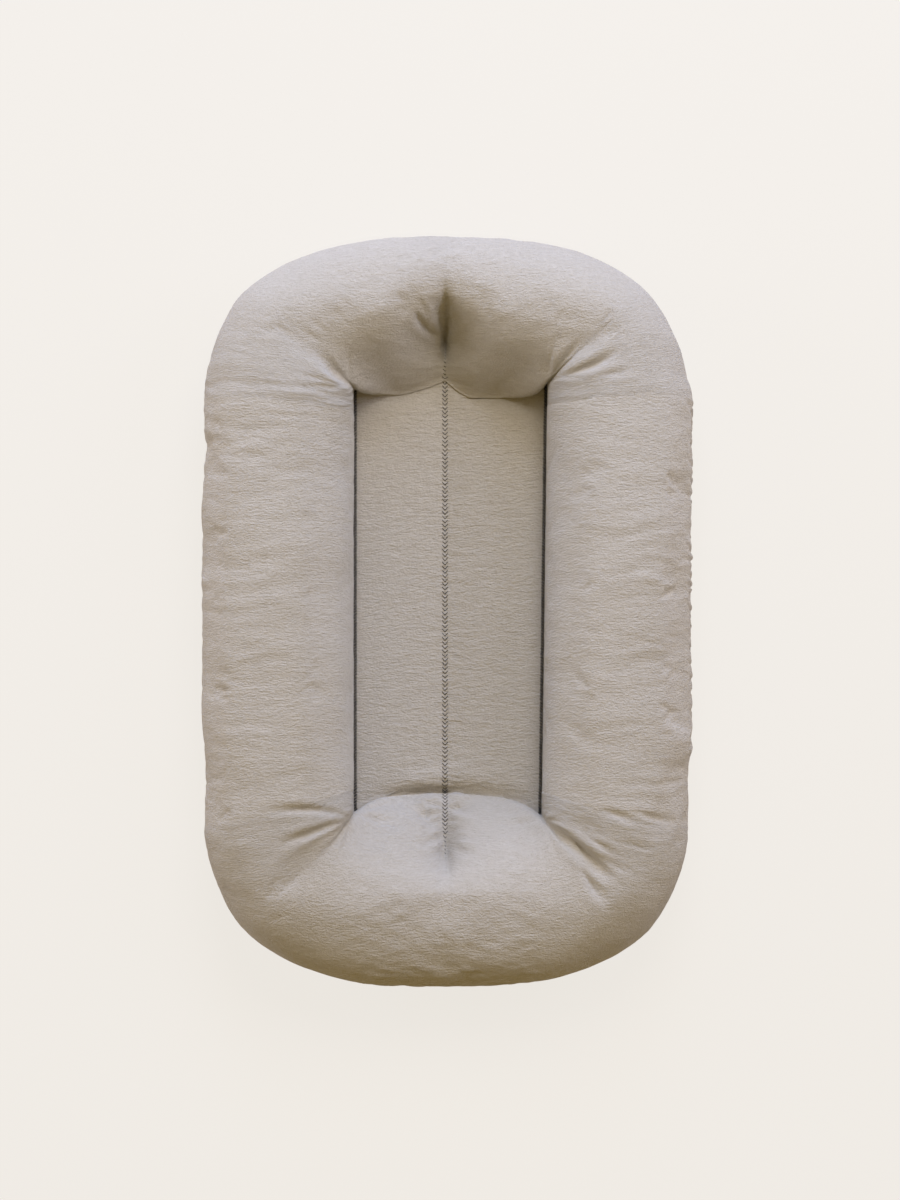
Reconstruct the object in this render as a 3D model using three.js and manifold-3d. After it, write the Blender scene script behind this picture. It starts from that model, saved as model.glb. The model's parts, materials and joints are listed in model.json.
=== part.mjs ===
// Infant lounger: a soft oblong bed with a stuffed rim round a shallow cloth well.
// Millimetres. X runs to the right, Y from the foot end to the head end, Z up.
// The origin is on the ground under the middle of the bed.

import * as THREE from 'three';
import Module from 'manifold-3d';
import { mergeVertices } from 'three/addons/utils/BufferGeometryUtils.js';

const wasm = await Module();
wasm.setup();

// Outline seen from above
const LENGTH = 740;
const WIDTH = 488;
const FLANK_LENGTH = 424;
const CORNER_ACROSS_POWER = 2.5;
const CORNER_ALONG_POWER = 2.15;

// Rim
const CREST_HEIGHT = 118;
const HEAD_DIP = 9;
const FOOT_DIP = 7;
const SEAM_HEIGHT = 38;
const FLATTENING = 4;
const RIM_POWER = 2.3;
const UNDER_CURVE = 77;
const SIDE_OVERHANG = 4;
const HEAD_OVERHANG = 2;
const SIDE_BULGE_LIFT = 36;
const HEAD_BULGE_LIFT = 26;
const FOOT_BULGE_LIFT = 10;

// Well, measured from the middle of the bed
const CENTRE_SEAM_SHIFT = -1.5;
const LEFT_SEAM_REACH = 91.5;
const RIGHT_SEAM_REACH_HEAD = 97.4;
const RIGHT_SEAM_REACH_FOOT = 92.5;
const SIDE_SEAM_HEAD = 224.5;
const SIDE_SEAM_FOOT = 200.8;
const CENTRE_SEAM_HEAD = 274;
const CENTRE_SEAM_FOOT = 242;
const FLOOR_HEAD = 212;
const FLOOR_FOOT = 181;
const WELL_CORNER = 25;
const WELL_POWER = 4;
const WELL_HEIGHT = 12;
const HEAD_TUFT_HEIGHT = 40;
const FOOT_TUFT_HEIGHT = 46;
const FLOOR_PUFF = 5;

// Cloth, wadding and thread
const CLOTH = 1;
const LINING = 0.6;
const TAPE = 0.6;
const STITCH_WIDTH = 5.5;
const STITCH_THICKNESS = 0.5;
const STITCH_SETBACK = 0.5;
const SEAM_TAPE_WIDTH = 14;
const GAP = 0.3;
const STITCH_GAP = 0.4;
const WADDING_GAP = 0.6;
const LINING_GAP = 0.6;

// Room between the shell and the bolster along the outer seam
const BOLSTER_ROOM = 7;
const BOLSTER_LIFT = 0.5;

// Zip in the right-hand side seam, closed towards the head end
const ZIP_LENGTH = 313;
const LIP_OPENING = 4.2;
const LIP_TURN = 6;
const TAPE_WIDTH = 11;
const TAPE_SINK = 2.8;
const TAPE_END_GAP = 1.5;
const TAPE_TAIL = 20;
const TEETH_WIDTH = 1.85;
const TEETH_THICKNESS = 2.2;
const TEETH_SPLIT = 1.3;
const STOP_LENGTH = 2.6;
const SLIDER_LENGTH = 9;
const SLIDER_TIP_WIDTH = 5.6;
const FLANGE_LIP = 0.7;
const PLATE = 1;
const RUNNING_GAP = 0.35;
const POST_LENGTH = 2.6;
const BRIDGE_WIDTH = 1.8;
const BRIDGE_LENGTH = 5.6;
const BRIDGE_LEG = 0.7;
const TAB_THICKNESS = 1;
const TAB_WIDTH = 5.2;
const TAB_LENGTH = 24;
const TAB_EYE_LENGTH = 3.8;
const TAB_EYE_WIDTH = 2.8;
const TAB_SWING_ROOM = 0.5;

// How finely the soft forms are divided
const CAP_STEPS = 11;
const CAP_EASE = 1.75;
const CURVE_SEGMENTS = 6;

// Shares of the shapes that they name
const SPINE_EASE_SHARE = 3.2;
const TUFT_REACH_SHARE = 0.3;
const TUFT_DRAW_SHARE = 1.6;
const LOBE_SHARE = 0.4;
const CORNER_SHARE = 0.95;
const END_BLEND_SHARE = 0.5;
const FLOOR_ROW_SHARES = [0.2, 0.8];
const WADDING_ROW_SHARES = [0.08, 0.2, 0.8, 0.92];
const WADDING_STEPS_SHARE = 0.36;
const STITCH_END_SHARE = 0.8;

// Directions round the rim, in degrees from its widest line
const UPPER_TURNS = [0, 30, 60, 90, 120, 150, 180];
const UNDER_TURNS = [36, 52, 70, 110];

const LEFT = -1;
const RIGHT = 1;
const HEAD = 1;
const FOOT = -1;

const { lerp, smoothstep, degToRad } = THREE.MathUtils;

const HALF_FLANK = FLANK_LENGTH / 2;
const CAP_LENGTH = LENGTH / 2 - HALF_FLANK;
const PANEL_PAIR = 2 * CLOTH + GAP;
const SHELL_BACK = CLOTH + GAP;
const LINING_INSET = CLOTH + LINING_GAP;
const FILLING_INSET = LINING_INSET + LINING + GAP;
const ZIP_HEAD = HALF_FLANK - LIP_TURN;
const ZIP_FOOT = ZIP_HEAD - ZIP_LENGTH;
const OPENING_FOOT = ZIP_FOOT - TAPE_TAIL;

// Materials
function cloth(color, roughness = 0.95) {
  return new THREE.MeshStandardMaterial({ color, roughness, metalness: 0 });
}

function metal(color) {
  return new THREE.MeshStandardMaterial({ color, roughness: 0.4, metalness: 0.8 });
}

const GREIGE = 0xb9b1a6;
const UNDYED = 0xe6e0d4;
const FIBRE = 0xf2f0ea;
const CHARCOAL = 0x4c4a45;
const ZIP_CLOTH = 0xaca497;
const ZIP_NYLON = 0xa39b8e;
const ZIP_METAL = 0x8d877d;

// The values that differ between the head end and the foot end
function endSizes(end) {
  if (end === HEAD) {
    return {
      floor: FLOOR_HEAD,
      sideSeam: SIDE_SEAM_HEAD,
      centreSeam: CENTRE_SEAM_HEAD,
      tuft: HEAD_TUFT_HEIGHT,
      overhang: HEAD_OVERHANG,
      bulgeLift: HEAD_BULGE_LIFT,
      dip: HEAD_DIP,
    };
  }
  return {
    floor: FLOOR_FOOT,
    sideSeam: SIDE_SEAM_FOOT,
    centreSeam: CENTRE_SEAM_FOOT,
    tuft: FOOT_TUFT_HEIGHT,
    overhang: 0,
    bulgeLift: FOOT_BULGE_LIFT,
    dip: FOOT_DIP,
  };
}

// The side seam's place at a distance along the bed
function sideSeamAcross(side, along) {
  if (side === LEFT) return -LEFT_SEAM_REACH;
  const share = (along + SIDE_SEAM_FOOT) / (SIDE_SEAM_HEAD + SIDE_SEAM_FOOT);
  return lerp(RIGHT_SEAM_REACH_FOOT, RIGHT_SEAM_REACH_HEAD, share);
}

// The height of the centre seam, which climbs the rim's slope at each end
function centreSeamHeight(along) {
  const end = endSizes(along > 0 ? HEAD : FOOT);
  const climb = (Math.abs(along) - end.floor) / (end.centreSeam - end.floor);
  return lerp(WELL_HEIGHT, end.tuft, Math.max(climb, 0) ** TUFT_DRAW_SHARE);
}

// One station of the rim: a slice from the outline, over the rim and the floor, to the centre seam
function makeStation(values) {
  const { edge, well, overhang, crest } = values;
  const direction = edge.clone().sub(well);
  const width = direction.length();
  direction.normalize();
  return {
    direction,
    middle: crest / 2,
    half: (width + overhang) / 2,
    centre: (width - overhang) / 2,
    room: 0,
    lip: GAP / 2,
    ...values,
  };
}

function flankStation(side, along) {
  const share = (along + HALF_FLANK) / FLANK_LENGTH;
  const wellAlong = lerp(WELL_CORNER - SIDE_SEAM_FOOT, SIDE_SEAM_HEAD - WELL_CORNER, share);
  const spineAlong = lerp(WELL_CORNER - FLOOR_FOOT, FLOOR_HEAD - WELL_CORNER, share);
  const zipped = side === RIGHT && along > OPENING_FOOT - GAP && along < ZIP_HEAD + GAP;
  return makeStation({
    edge: new THREE.Vector2(side * WIDTH / 2, along),
    well: new THREE.Vector2(sideSeamAcross(side, wellAlong), wellAlong),
    spine: new THREE.Vector2(CENTRE_SEAM_SHIFT, spineAlong),
    crest: CREST_HEIGHT,
    wellHeight: WELL_HEIGHT,
    spineHeight: WELL_HEIGHT,
    overhang: SIDE_OVERHANG,
    bulgeLift: SIDE_BULGE_LIFT,
    puff: FLOOR_PUFF,
    lip: zipped ? LIP_OPENING : GAP / 2,
  });
}

function capStation(side, end, step) {
  const sizes = endSizes(end);
  const turned = 1 - (1 - step / CAP_STEPS) ** CAP_EASE;
  const angle = turned * Math.PI / 2;
  const edgeAcross = WIDTH / 2 * Math.cos(angle) ** (2 / CORNER_ACROSS_POWER);
  const edgeAlong = HALF_FLANK + CAP_LENGTH * Math.sin(angle) ** (2 / CORNER_ALONG_POWER);
  const atMiddle = step === CAP_STEPS;

  // The well's end, squarer than the outline, with a lobe of the rim on each side of the tuft
  const across = atMiddle ? 0 : Math.cos(angle) ** (2 / WELL_POWER);
  const seamSide = sideSeamAcross(side, end * sizes.sideSeam);
  const lobe = 1 - smoothstep(across, LOBE_SHARE, CORNER_SHARE);
  const near = Math.max(0, 1 - across / TUFT_REACH_SHARE);
  const drawn = near ** TUFT_DRAW_SHARE;
  const wellAlong = sizes.sideSeam - WELL_CORNER * (1 - Math.sin(angle) ** (2 / WELL_POWER))
    - (sizes.sideSeam - sizes.floor) * lobe + (sizes.centreSeam - sizes.floor) * drawn;

  const spineStart = sizes.floor - WELL_CORNER;
  const spineAlong = lerp(spineStart, sizes.centreSeam, (step / CAP_STEPS) ** SPINE_EASE_SHARE);
  const blend = smoothstep(step / CAP_STEPS, 0, END_BLEND_SHARE);
  return makeStation({
    edge: new THREE.Vector2(atMiddle ? 0 : side * edgeAcross, end * edgeAlong),
    well: new THREE.Vector2(lerp(CENTRE_SEAM_SHIFT, seamSide, across), end * wellAlong),
    spine: new THREE.Vector2(CENTRE_SEAM_SHIFT, end * spineAlong),
    crest: CREST_HEIGHT - sizes.dip * (1 - across) ** 2,
    wellHeight: lerp(WELL_HEIGHT, sizes.tuft, drawn),
    spineHeight: centreSeamHeight(end * spineAlong),
    overhang: lerp(SIDE_OVERHANG, sizes.overhang, blend),
    bulgeLift: lerp(SIDE_BULGE_LIFT, sizes.bulgeLift, blend),
    puff: FLOOR_PUFF * (1 - near),
  });
}

// The stations of one flank between its two ends, from foot to head
function flankPlaces(fine) {
  if (!fine) return [-HALF_FLANK, HALF_FLANK];
  return [-HALF_FLANK, OPENING_FOOT - LIP_TURN, OPENING_FOOT, ZIP_HEAD, HALF_FLANK];
}

function flank(side, fine) {
  return flankPlaces(fine).map((along) => flankStation(side, along));
}

function cap(side, end, first, last) {
  const stations = [];
  for (let step = first; step <= last; step += 1) {
    stations.push(capStation(side, end, step));
  }
  return stations;
}

// All stations, counter-clockwise from the foot end of the right-hand flank
function wholeRing(fine) {
  return [
    ...flank(RIGHT, fine),
    ...cap(RIGHT, HEAD, 1, CAP_STEPS),
    ...cap(LEFT, HEAD, 1, CAP_STEPS - 1).reverse(),
    ...flank(LEFT, fine).reverse(),
    ...cap(LEFT, FOOT, 1, CAP_STEPS),
    ...cap(RIGHT, FOOT, 1, CAP_STEPS - 1).reverse(),
  ];
}

// The stations from the head end of the zip's opening round to its foot end
function ringPastZip() {
  return [
    flankStation(RIGHT, HALF_FLANK),
    ...cap(RIGHT, HEAD, 1, CAP_STEPS),
    ...cap(LEFT, HEAD, 1, CAP_STEPS - 1).reverse(),
    ...flank(LEFT, false).reverse(),
    ...cap(LEFT, FOOT, 1, CAP_STEPS),
    ...cap(RIGHT, FOOT, 1, CAP_STEPS - 1).reverse(),
    flankStation(RIGHT, -HALF_FLANK),
    flankStation(RIGHT, OPENING_FOOT - LIP_TURN),
  ];
}

// The same slice with room left along its outline, for the bolster that lies inside the shell
function drawnIn(station) {
  return { ...station, room: BOLSTER_ROOM };
}

// Powers of the sine and cosine that make the rim's slice fuller than an ellipse
function full(value) {
  return Math.sign(value) * Math.abs(value) ** (2 / RIM_POWER);
}

function place(station, reach, height) {
  const { well, direction } = station;
  return new THREE.Vector3(
    well.x + direction.x * reach,
    well.y + direction.y * reach,
    height,
  );
}

// A point of the rim's upper side, inset from the cloth's outer face
function upperPoint(station, turn, inset) {
  const angle = degToRad(turn);
  const outwards = turn <= 90;
  const half = station.half - inset - (outwards ? station.room : 0);
  const reach = station.centre + full(Math.cos(angle)) * half;
  const level = outwards ? station.middle : station.wellHeight + station.bulgeLift;
  const height = level + full(Math.sin(angle)) * (station.crest - level - inset);
  return place(station, reach, height);
}

// How far in from the widest line a point of the underside's outer curve lies
function curveReach(station, angle, inset) {
  const widest = station.centre + station.half - station.room;
  return widest - UNDER_CURVE + full(Math.cos(angle)) * (UNDER_CURVE - inset);
}

// A point of the underside, pressed flat where the rim rests
function underPoint(station, turn, inset) {
  const angle = degToRad(turn);
  const reach = turn <= 90
    ? curveReach(station, angle, inset)
    : station.centre + full(Math.cos(angle)) * (station.half - inset);
  const depth = full(Math.sin(angle)) * (station.middle + FLATTENING - inset);
  return place(station, reach, Math.max(inset, station.middle - depth));
}

// Where the perimeter seam lies on a slice, as a reach from the well seam
function seamReach(station, inset) {
  const drop = (station.middle - SEAM_HEIGHT) / (station.middle + FLATTENING);
  const tuck = Math.asin(drop ** (RIM_POWER / 2));
  return curveReach(station, tuck, inset);
}

// A point on the straight stretch just above or below the perimeter seam
function seamPoint(station, inset, lift) {
  const start = seamReach(station, inset);
  const next = lift > 0 ? upperPoint(station, 0, inset) : underPoint(station, UNDER_TURNS[0], inset);
  const seam = place(station, start, SEAM_HEIGHT);
  return seam.lerp(next, lift / (next.z - SEAM_HEIGHT));
}

// The height of the floor's upper face above the line from seam to seam
function floorRise(station, share) {
  const slope = FLOOR_ROW_SHARES[0];
  return station.puff * Math.min(1, share / slope, (1 - share) / slope);
}

// A point of the well's floor; share runs from the side seam to the centre seam
function floorPoint(station, share, height) {
  const flat = station.well.clone().lerp(station.spine, share);
  return new THREE.Vector3(flat.x, flat.y, height);
}

function seamLine(station, share) {
  return lerp(station.wellHeight, station.spineHeight, share);
}

// Rows of points down each slice
function topPanelRow(station, inset) {
  const rim = UPPER_TURNS.map((turn) => upperPoint(station, turn, inset));
  const floor = [...FLOOR_ROW_SHARES, 1].map((share) => floorPoint(
    station, share, seamLine(station, share) + floorRise(station, share) - inset));
  return [
    seamPoint(station, inset, station.lip),
    ...rim,
    place(station, inset, station.wellHeight - inset),
    ...floor,
  ];
}

function basePanelRow(station, inset) {
  const rim = UNDER_TURNS.map((turn) => underPoint(station, turn, inset));
  const floor = [...FLOOR_ROW_SHARES, 1].map((share) => floorPoint(
    station, share, seamLine(station, share) - PANEL_PAIR + inset));
  return [
    seamPoint(station, inset, -station.lip),
    ...rim,
    place(station, inset, station.wellHeight - PANEL_PAIR + inset),
    ...floor,
  ];
}

// The bolster's inner corner, on the base panel beside the well seam
function bolsterFoot(station, inset) {
  return place(station, inset, station.wellHeight - PANEL_PAIR + inset + BOLSTER_LIFT);
}

function liningUpperRow(station, inset) {
  const rim = UPPER_TURNS.map((turn) => upperPoint(station, turn, inset));
  const top = bolsterFoot(station, FILLING_INSET).z;
  const foot = place(station, inset, top);
  return [seamPoint(station, inset, GAP / 2), ...rim, foot];
}

function liningLowerRow(station, inset) {
  const rim = UNDER_TURNS.map((turn) => underPoint(station, turn, inset));
  return [seamPoint(station, inset, -GAP / 2), ...rim, bolsterFoot(station, inset)];
}

function fillingRow(station, turns, point) {
  const seam = place(station, seamReach(station, FILLING_INSET), SEAM_HEIGHT);
  const side = turns.map((turn) => point(station, turn, FILLING_INSET));
  return [seam, ...side, bolsterFoot(station, FILLING_INSET)];
}

// Builds a closed surface from triangles, leaving out those that have shut to a line
class Surface {
  constructor() {
    this.corners = [];
  }

  triangle(a, b, c) {
    const area = b.clone().sub(a).cross(c.clone().sub(a)).length();
    if (area > 1e-6) {
      this.corners.push(a, b, c);
    }
  }

  quad(a, b, c, d) {
    this.triangle(a, b, c);
    this.triangle(a, c, d);
  }

  flipped(a, b, c, d) {
    this.triangle(a, c, b);
    this.triangle(a, d, c);
  }

  geometry() {
    const geometry = new THREE.BufferGeometry().setFromPoints(this.corners);
    geometry.computeVertexNormals();
    return geometry;
  }
}

// A sheet between two grids of points. A loop closes on itself, and a sewn sheet's last
// row meets the last row of the stations across from it.
function sheet(front, back, { loop = false, sewn = false } = {}) {
  const surface = new Surface();
  const rows = front[0].length - 1;
  const last = front.length - 1;
  const spans = loop ? front.length : last;
  for (let i = 0; i < spans; i += 1) {
    const next = (i + 1) % front.length;
    for (let j = 0; j < rows; j += 1) {
      surface.quad(front[i][j], front[next][j], front[next][j + 1], front[i][j + 1]);
      surface.flipped(back[i][j], back[next][j], back[next][j + 1], back[i][j + 1]);
    }
    surface.quad(front[next][0], front[i][0], back[i][0], back[next][0]);
    if (!sewn) {
      surface.quad(front[i][rows], front[next][rows], back[next][rows], back[i][rows]);
    }
  }
  if (!loop) {
    for (let j = 0; j < rows; j += 1) {
      surface.quad(front[0][j], front[0][j + 1], back[0][j + 1], back[0][j]);
      surface.quad(front[last][j + 1], front[last][j], back[last][j], back[last][j + 1]);
    }
  }
  return surface.geometry();
}

// A closed ring between an upper and a lower grid that share their first and last rows
function ringSolid(upper, lower) {
  const surface = new Surface();
  upper.forEach((row, i) => {
    const next = (i + 1) % upper.length;
    for (let j = 1; j < row.length; j += 1) {
      surface.quad(row[j - 1], upper[next][j - 1], upper[next][j], row[j]);
    }
    for (let j = 1; j < lower[i].length; j += 1) {
      surface.flipped(lower[i][j - 1], lower[next][j - 1], lower[next][j], lower[i][j]);
    }
  });
  return surface.geometry();
}

function raised(rows, rise) {
  return rows.map((row) => row.map((point) => point.clone().setZ(point.z + rise)));
}

// Shell
function topPanel() {
  const ring = wholeRing(true);
  const outer = ring.map((station) => topPanelRow(station, 0));
  const inner = ring.map((station) => topPanelRow(station, CLOTH));
  return sheet(outer, inner, { loop: true, sewn: true });
}

function basePanel() {
  const ring = wholeRing(true);
  const outer = ring.map((station) => basePanelRow(station, 0));
  const inner = ring.map((station) => basePanelRow(station, CLOTH));
  return sheet(inner, outer, { loop: true, sewn: true });
}

// The tape over the seam allowances, inside the shell, from the head end of the zip's opening
// round to its foot end
function perimeterSeamTape() {
  const reach = SEAM_TAPE_WIDTH / 2;
  const row = (station, inset) => [
    seamPoint(station, inset, -reach),
    place(station, seamReach(station, inset), SEAM_HEIGHT),
    seamPoint(station, inset, reach),
  ];
  const ring = ringPastZip();
  const outer = ring.map((station) => row(station, SHELL_BACK));
  const inner = ring.map((station) => row(station, SHELL_BACK + TAPE));
  return sheet(outer, inner);
}

// Well floor
function floorWadding(side) {
  const steps = Math.round(CAP_STEPS * WADDING_STEPS_SHARE);
  const stations = [
    ...cap(side, FOOT, 1, steps).reverse(),
    ...flank(side, true),
    ...cap(side, HEAD, 1, steps),
  ];
  const row = (station, height) => WADDING_ROW_SHARES.map((share) => floorPoint(
    station, share, seamLine(station, share) + height(station, share)));
  const crown = (station, share) => floorRise(station, share) - CLOTH - WADDING_GAP;
  const upper = stations.map((station) => row(station, crown));
  const lower = stations.map((station) => row(station, () => -CLOTH));
  if (side === LEFT) {
    return sheet(lower, upper);
  }
  return sheet(upper, lower);
}

// A row of chevron stitches beside a side seam, where the rim doesn't cover it
function sideStitching(side, above) {
  const stations = [
    capStation(side, FOOT, 1),
    ...flank(side, above),
    capStation(side, HEAD, 1),
  ];
  const rows = stations.map((station) => {
    const width = station.well.distanceTo(station.spine);
    return [STITCH_SETBACK, STITCH_SETBACK + STITCH_WIDTH].map((reach) => {
      const share = reach / width;
      const face = above ? floorRise(station, share) + STITCH_GAP : -PANEL_PAIR - STITCH_GAP;
      return floorPoint(station, share, seamLine(station, share) + face);
    });
  });
  return stitchRibbon(rows, above, side === LEFT);
}

// The row along the centre seam, which climbs both end slopes and narrows into the tufts
function centreStitching(above) {
  const reach = STITCH_WIDTH / 2;
  const face = (station, share) => (
    above ? floorRise(station, share) + STITCH_GAP : -PANEL_PAIR - STITCH_GAP);
  const sidePoint = (station) => {
    const share = 1 - reach / station.well.distanceTo(station.spine);
    return floorPoint(station, share, seamLine(station, share) + face(station, share));
  };
  const slice = (left, right) => [
    sidePoint(right),
    floorPoint(right, 1, right.spineHeight + face(right, 1)),
    sidePoint(left),
  ];
  const capSlices = (end) => {
    const slices = [];
    for (let step = 1; step < CAP_STEPS; step += 1) {
      slices.push(slice(capStation(LEFT, end, step), capStation(RIGHT, end, step)));
    }
    const tuft = capStation(RIGHT, end, CAP_STEPS);
    const tip = floorPoint(tuft, 1, tuft.spineHeight + face(tuft, 1));
    const lastSlice = slices[slices.length - 1];
    slices.push(lastSlice.map((point) => point.clone().lerp(tip, STITCH_END_SHARE)));
    return slices;
  };
  const places = flankPlaces(above);
  const rows = [
    ...capSlices(FOOT).reverse(),
    ...places.map((along) => slice(flankStation(LEFT, along), flankStation(RIGHT, along))),
    ...capSlices(HEAD),
  ];
  return stitchRibbon(rows, above, false);
}

function stitchRibbon(rows, above, mirrored) {
  const far = raised(rows, above ? STITCH_THICKNESS : -STITCH_THICKNESS);
  const upper = above ? far : rows;
  const lower = above ? rows : far;
  return mirrored ? sheet(lower, upper) : sheet(upper, lower);
}

// Bolster
function bolsterRing() {
  return wholeRing(false).map(drawnIn);
}

function liningUpper() {
  const ring = bolsterRing();
  const outer = ring.map((station) => liningUpperRow(station, LINING_INSET));
  const inner = ring.map((station) => liningUpperRow(station, LINING_INSET + LINING));
  return sheet(outer, inner, { loop: true });
}

function liningLower() {
  const ring = bolsterRing();
  const outer = ring.map((station) => liningLowerRow(station, LINING_INSET));
  const inner = ring.map((station) => liningLowerRow(station, LINING_INSET + LINING));
  return sheet(inner, outer, { loop: true });
}

function bolsterFilling() {
  const ring = bolsterRing();
  const upper = ring.map((station) => fillingRow(station, UPPER_TURNS, upperPoint));
  const lower = ring.map((station) => fillingRow(station, UNDER_TURNS, underPoint));
  return ringSolid(upper, lower);
}

// Zip. Its own frame has X outwards, Y along the bed and Z up, from the middle of the chain.
function zipSlice() {
  return flankStation(RIGHT, (ZIP_FOOT + ZIP_HEAD) / 2);
}

const TAPE_FACE = SHELL_BACK + TAPE_SINK;
const CHAIN_HALF = TEETH_SPLIT / 2 + TEETH_WIDTH;
const CHANNEL_HALF_WIDTH = CHAIN_HALF + GAP;
const CHANNEL_HALF_DEPTH = TEETH_THICKNESS / 2 + GAP;
const SLOT_HALF_DEPTH = TAPE / 2 + RUNNING_GAP;
const SLIDER_HALF_WIDTH = CHANNEL_HALF_WIDTH + FLANGE_LIP;
const FRONT_FACE = CHANNEL_HALF_DEPTH + PLATE;
const TAB_AXIS = FRONT_FACE + TAB_THICKNESS / 2 + TAB_SWING_ROOM;
const BRIDGE_TOP = TAB_AXIS + TAB_THICKNESS / 2 + TAB_SWING_ROOM;
const SLIDER_REST = ZIP_HEAD - STOP_LENGTH - GAP - SLIDER_LENGTH / 2;

function chainAcross() {
  const slice = zipSlice();
  return place(slice, seamReach(slice, TAPE_FACE + TAPE / 2), SEAM_HEIGHT).x;
}

// A prism whose section is given as [x, z] points, run along Y from one place to another
function prism(section, from, to) {
  const shape = new THREE.Shape(section.map(([x, z]) => new THREE.Vector2(x, z)));
  const geometry = new THREE.ExtrudeGeometry(shape, { depth: to - from, bevelEnabled: false });
  return geometry.rotateX(Math.PI / 2).translate(0, to, 0);
}

function box(low, high) {
  const size = high.clone().sub(low);
  const centre = low.clone().add(high).multiplyScalar(0.5);
  return new THREE.BoxGeometry(size.x, size.y, size.z).translate(centre.x, centre.y, centre.z);
}

// A tape runs from the back of the shell's cloth to the chain, sunk below the lips
function zipTape(direction) {
  const slice = zipSlice();
  const near = direction * (CHAIN_HALF + GAP);
  const far = direction * (CHAIN_HALF + GAP + TAPE_WIDTH);
  const corner = (inset, lift) => {
    const point = seamPoint(slice, inset, lift);
    return [point.x, point.z];
  };
  const chain = chainAcross();
  const bend = direction * (SLIDER_HALF_WIDTH + RUNNING_GAP);
  const section = [
    [chain + TAPE / 2, SEAM_HEIGHT + near],
    [chain + TAPE / 2, SEAM_HEIGHT + bend],
    corner(SHELL_BACK, far),
    corner(SHELL_BACK + TAPE, far),
    [chain - TAPE / 2, SEAM_HEIGHT + bend],
    [chain - TAPE / 2, SEAM_HEIGHT + near],
  ];
  if (direction > 0) section.reverse();
  const foot = OPENING_FOOT - LIP_TURN + TAPE_END_GAP;
  return prism(section, foot, ZIP_HEAD + LIP_TURN - TAPE_END_GAP);
}

function zipTeeth(direction) {
  const near = direction * TEETH_SPLIT / 2;
  const far = direction * CHAIN_HALF;
  return box(
    new THREE.Vector3(-TEETH_THICKNESS / 2, ZIP_FOOT + STOP_LENGTH + GAP, Math.min(near, far)),
    new THREE.Vector3(TEETH_THICKNESS / 2, ZIP_HEAD - STOP_LENGTH - GAP, Math.max(near, far)),
  );
}

function topStop(direction) {
  const near = direction * TEETH_SPLIT / 2;
  const far = direction * CHAIN_HALF;
  return box(
    new THREE.Vector3(-TEETH_THICKNESS / 2, ZIP_HEAD - STOP_LENGTH, Math.min(near, far)),
    new THREE.Vector3(TEETH_THICKNESS / 2, ZIP_HEAD, Math.max(near, far)),
  );
}

function bottomStop() {
  return box(
    new THREE.Vector3(-TEETH_THICKNESS / 2, ZIP_FOOT, -CHAIN_HALF),
    new THREE.Vector3(TEETH_THICKNESS / 2, ZIP_FOOT + STOP_LENGTH, CHAIN_HALF),
  );
}

function solidOf(geometry) {
  const bare = geometry.clone();
  bare.deleteAttribute('normal');
  bare.deleteAttribute('uv');
  const merged = mergeVertices(bare);
  return new wasm.Manifold(new wasm.Mesh({
    numProp: 3,
    vertProperties: new Float32Array(merged.attributes.position.array),
    triVerts: new Uint32Array(merged.index.array),
  }));
}

function geometryOf(solid) {
  const mesh = solid.getMesh();
  const geometry = new THREE.BufferGeometry();
  geometry.setAttribute('position', new THREE.BufferAttribute(mesh.vertProperties, 3));
  geometry.setIndex(new THREE.BufferAttribute(mesh.triVerts, 1));
  geometry.computeVertexNormals();
  return geometry;
}

// The slider's plates with their turned-in edges, seen along the zip
function sliderPlate(facing) {
  const section = [
    [facing * FRONT_FACE, -SLIDER_HALF_WIDTH],
    [facing * FRONT_FACE, SLIDER_HALF_WIDTH],
    [facing * SLOT_HALF_DEPTH, SLIDER_HALF_WIDTH],
    [facing * SLOT_HALF_DEPTH, CHANNEL_HALF_WIDTH],
    [facing * CHANNEL_HALF_DEPTH, CHANNEL_HALF_WIDTH],
    [facing * CHANNEL_HALF_DEPTH, -CHANNEL_HALF_WIDTH],
    [facing * SLOT_HALF_DEPTH, -CHANNEL_HALF_WIDTH],
    [facing * SLOT_HALF_DEPTH, -SLIDER_HALF_WIDTH],
  ];
  return solidOf(prism(section, -SLIDER_LENGTH / 2, SLIDER_LENGTH / 2));
}

// The slider's outline seen from outside: broad at the head end and narrowing to the foot end
function sliderOutline() {
  const end = SLIDER_LENGTH / 2;
  const tip = SLIDER_TIP_WIDTH / 2;
  const shape = new THREE.Shape();
  shape.moveTo(-end, -tip);
  shape.quadraticCurveTo(0, -SLIDER_HALF_WIDTH, end / 2, -SLIDER_HALF_WIDTH);
  shape.quadraticCurveTo(end, -SLIDER_HALF_WIDTH, end, -tip / 2);
  shape.lineTo(end, tip / 2);
  shape.quadraticCurveTo(end, SLIDER_HALF_WIDTH, end / 2, SLIDER_HALF_WIDTH);
  shape.quadraticCurveTo(0, SLIDER_HALF_WIDTH, -end, tip);
  shape.closePath();
  return solidOf(facingOut(shape, 2 * FRONT_FACE + 2 * PLATE, -FRONT_FACE - PLATE));
}

// A shape drawn with its X along the zip and its Y up, extruded outwards from a place
function facingOut(shape, thickness, from) {
  const geometry = new THREE.ExtrudeGeometry(shape, {
    depth: thickness,
    bevelEnabled: false,
    curveSegments: CURVE_SEGMENTS,
  });
  const turn = new THREE.Matrix4().makeBasis(
    new THREE.Vector3(0, 1, 0),
    new THREE.Vector3(0, 0, 1),
    new THREE.Vector3(1, 0, 0),
  );
  return geometry.applyMatrix4(turn).translate(from, 0, 0);
}

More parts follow.
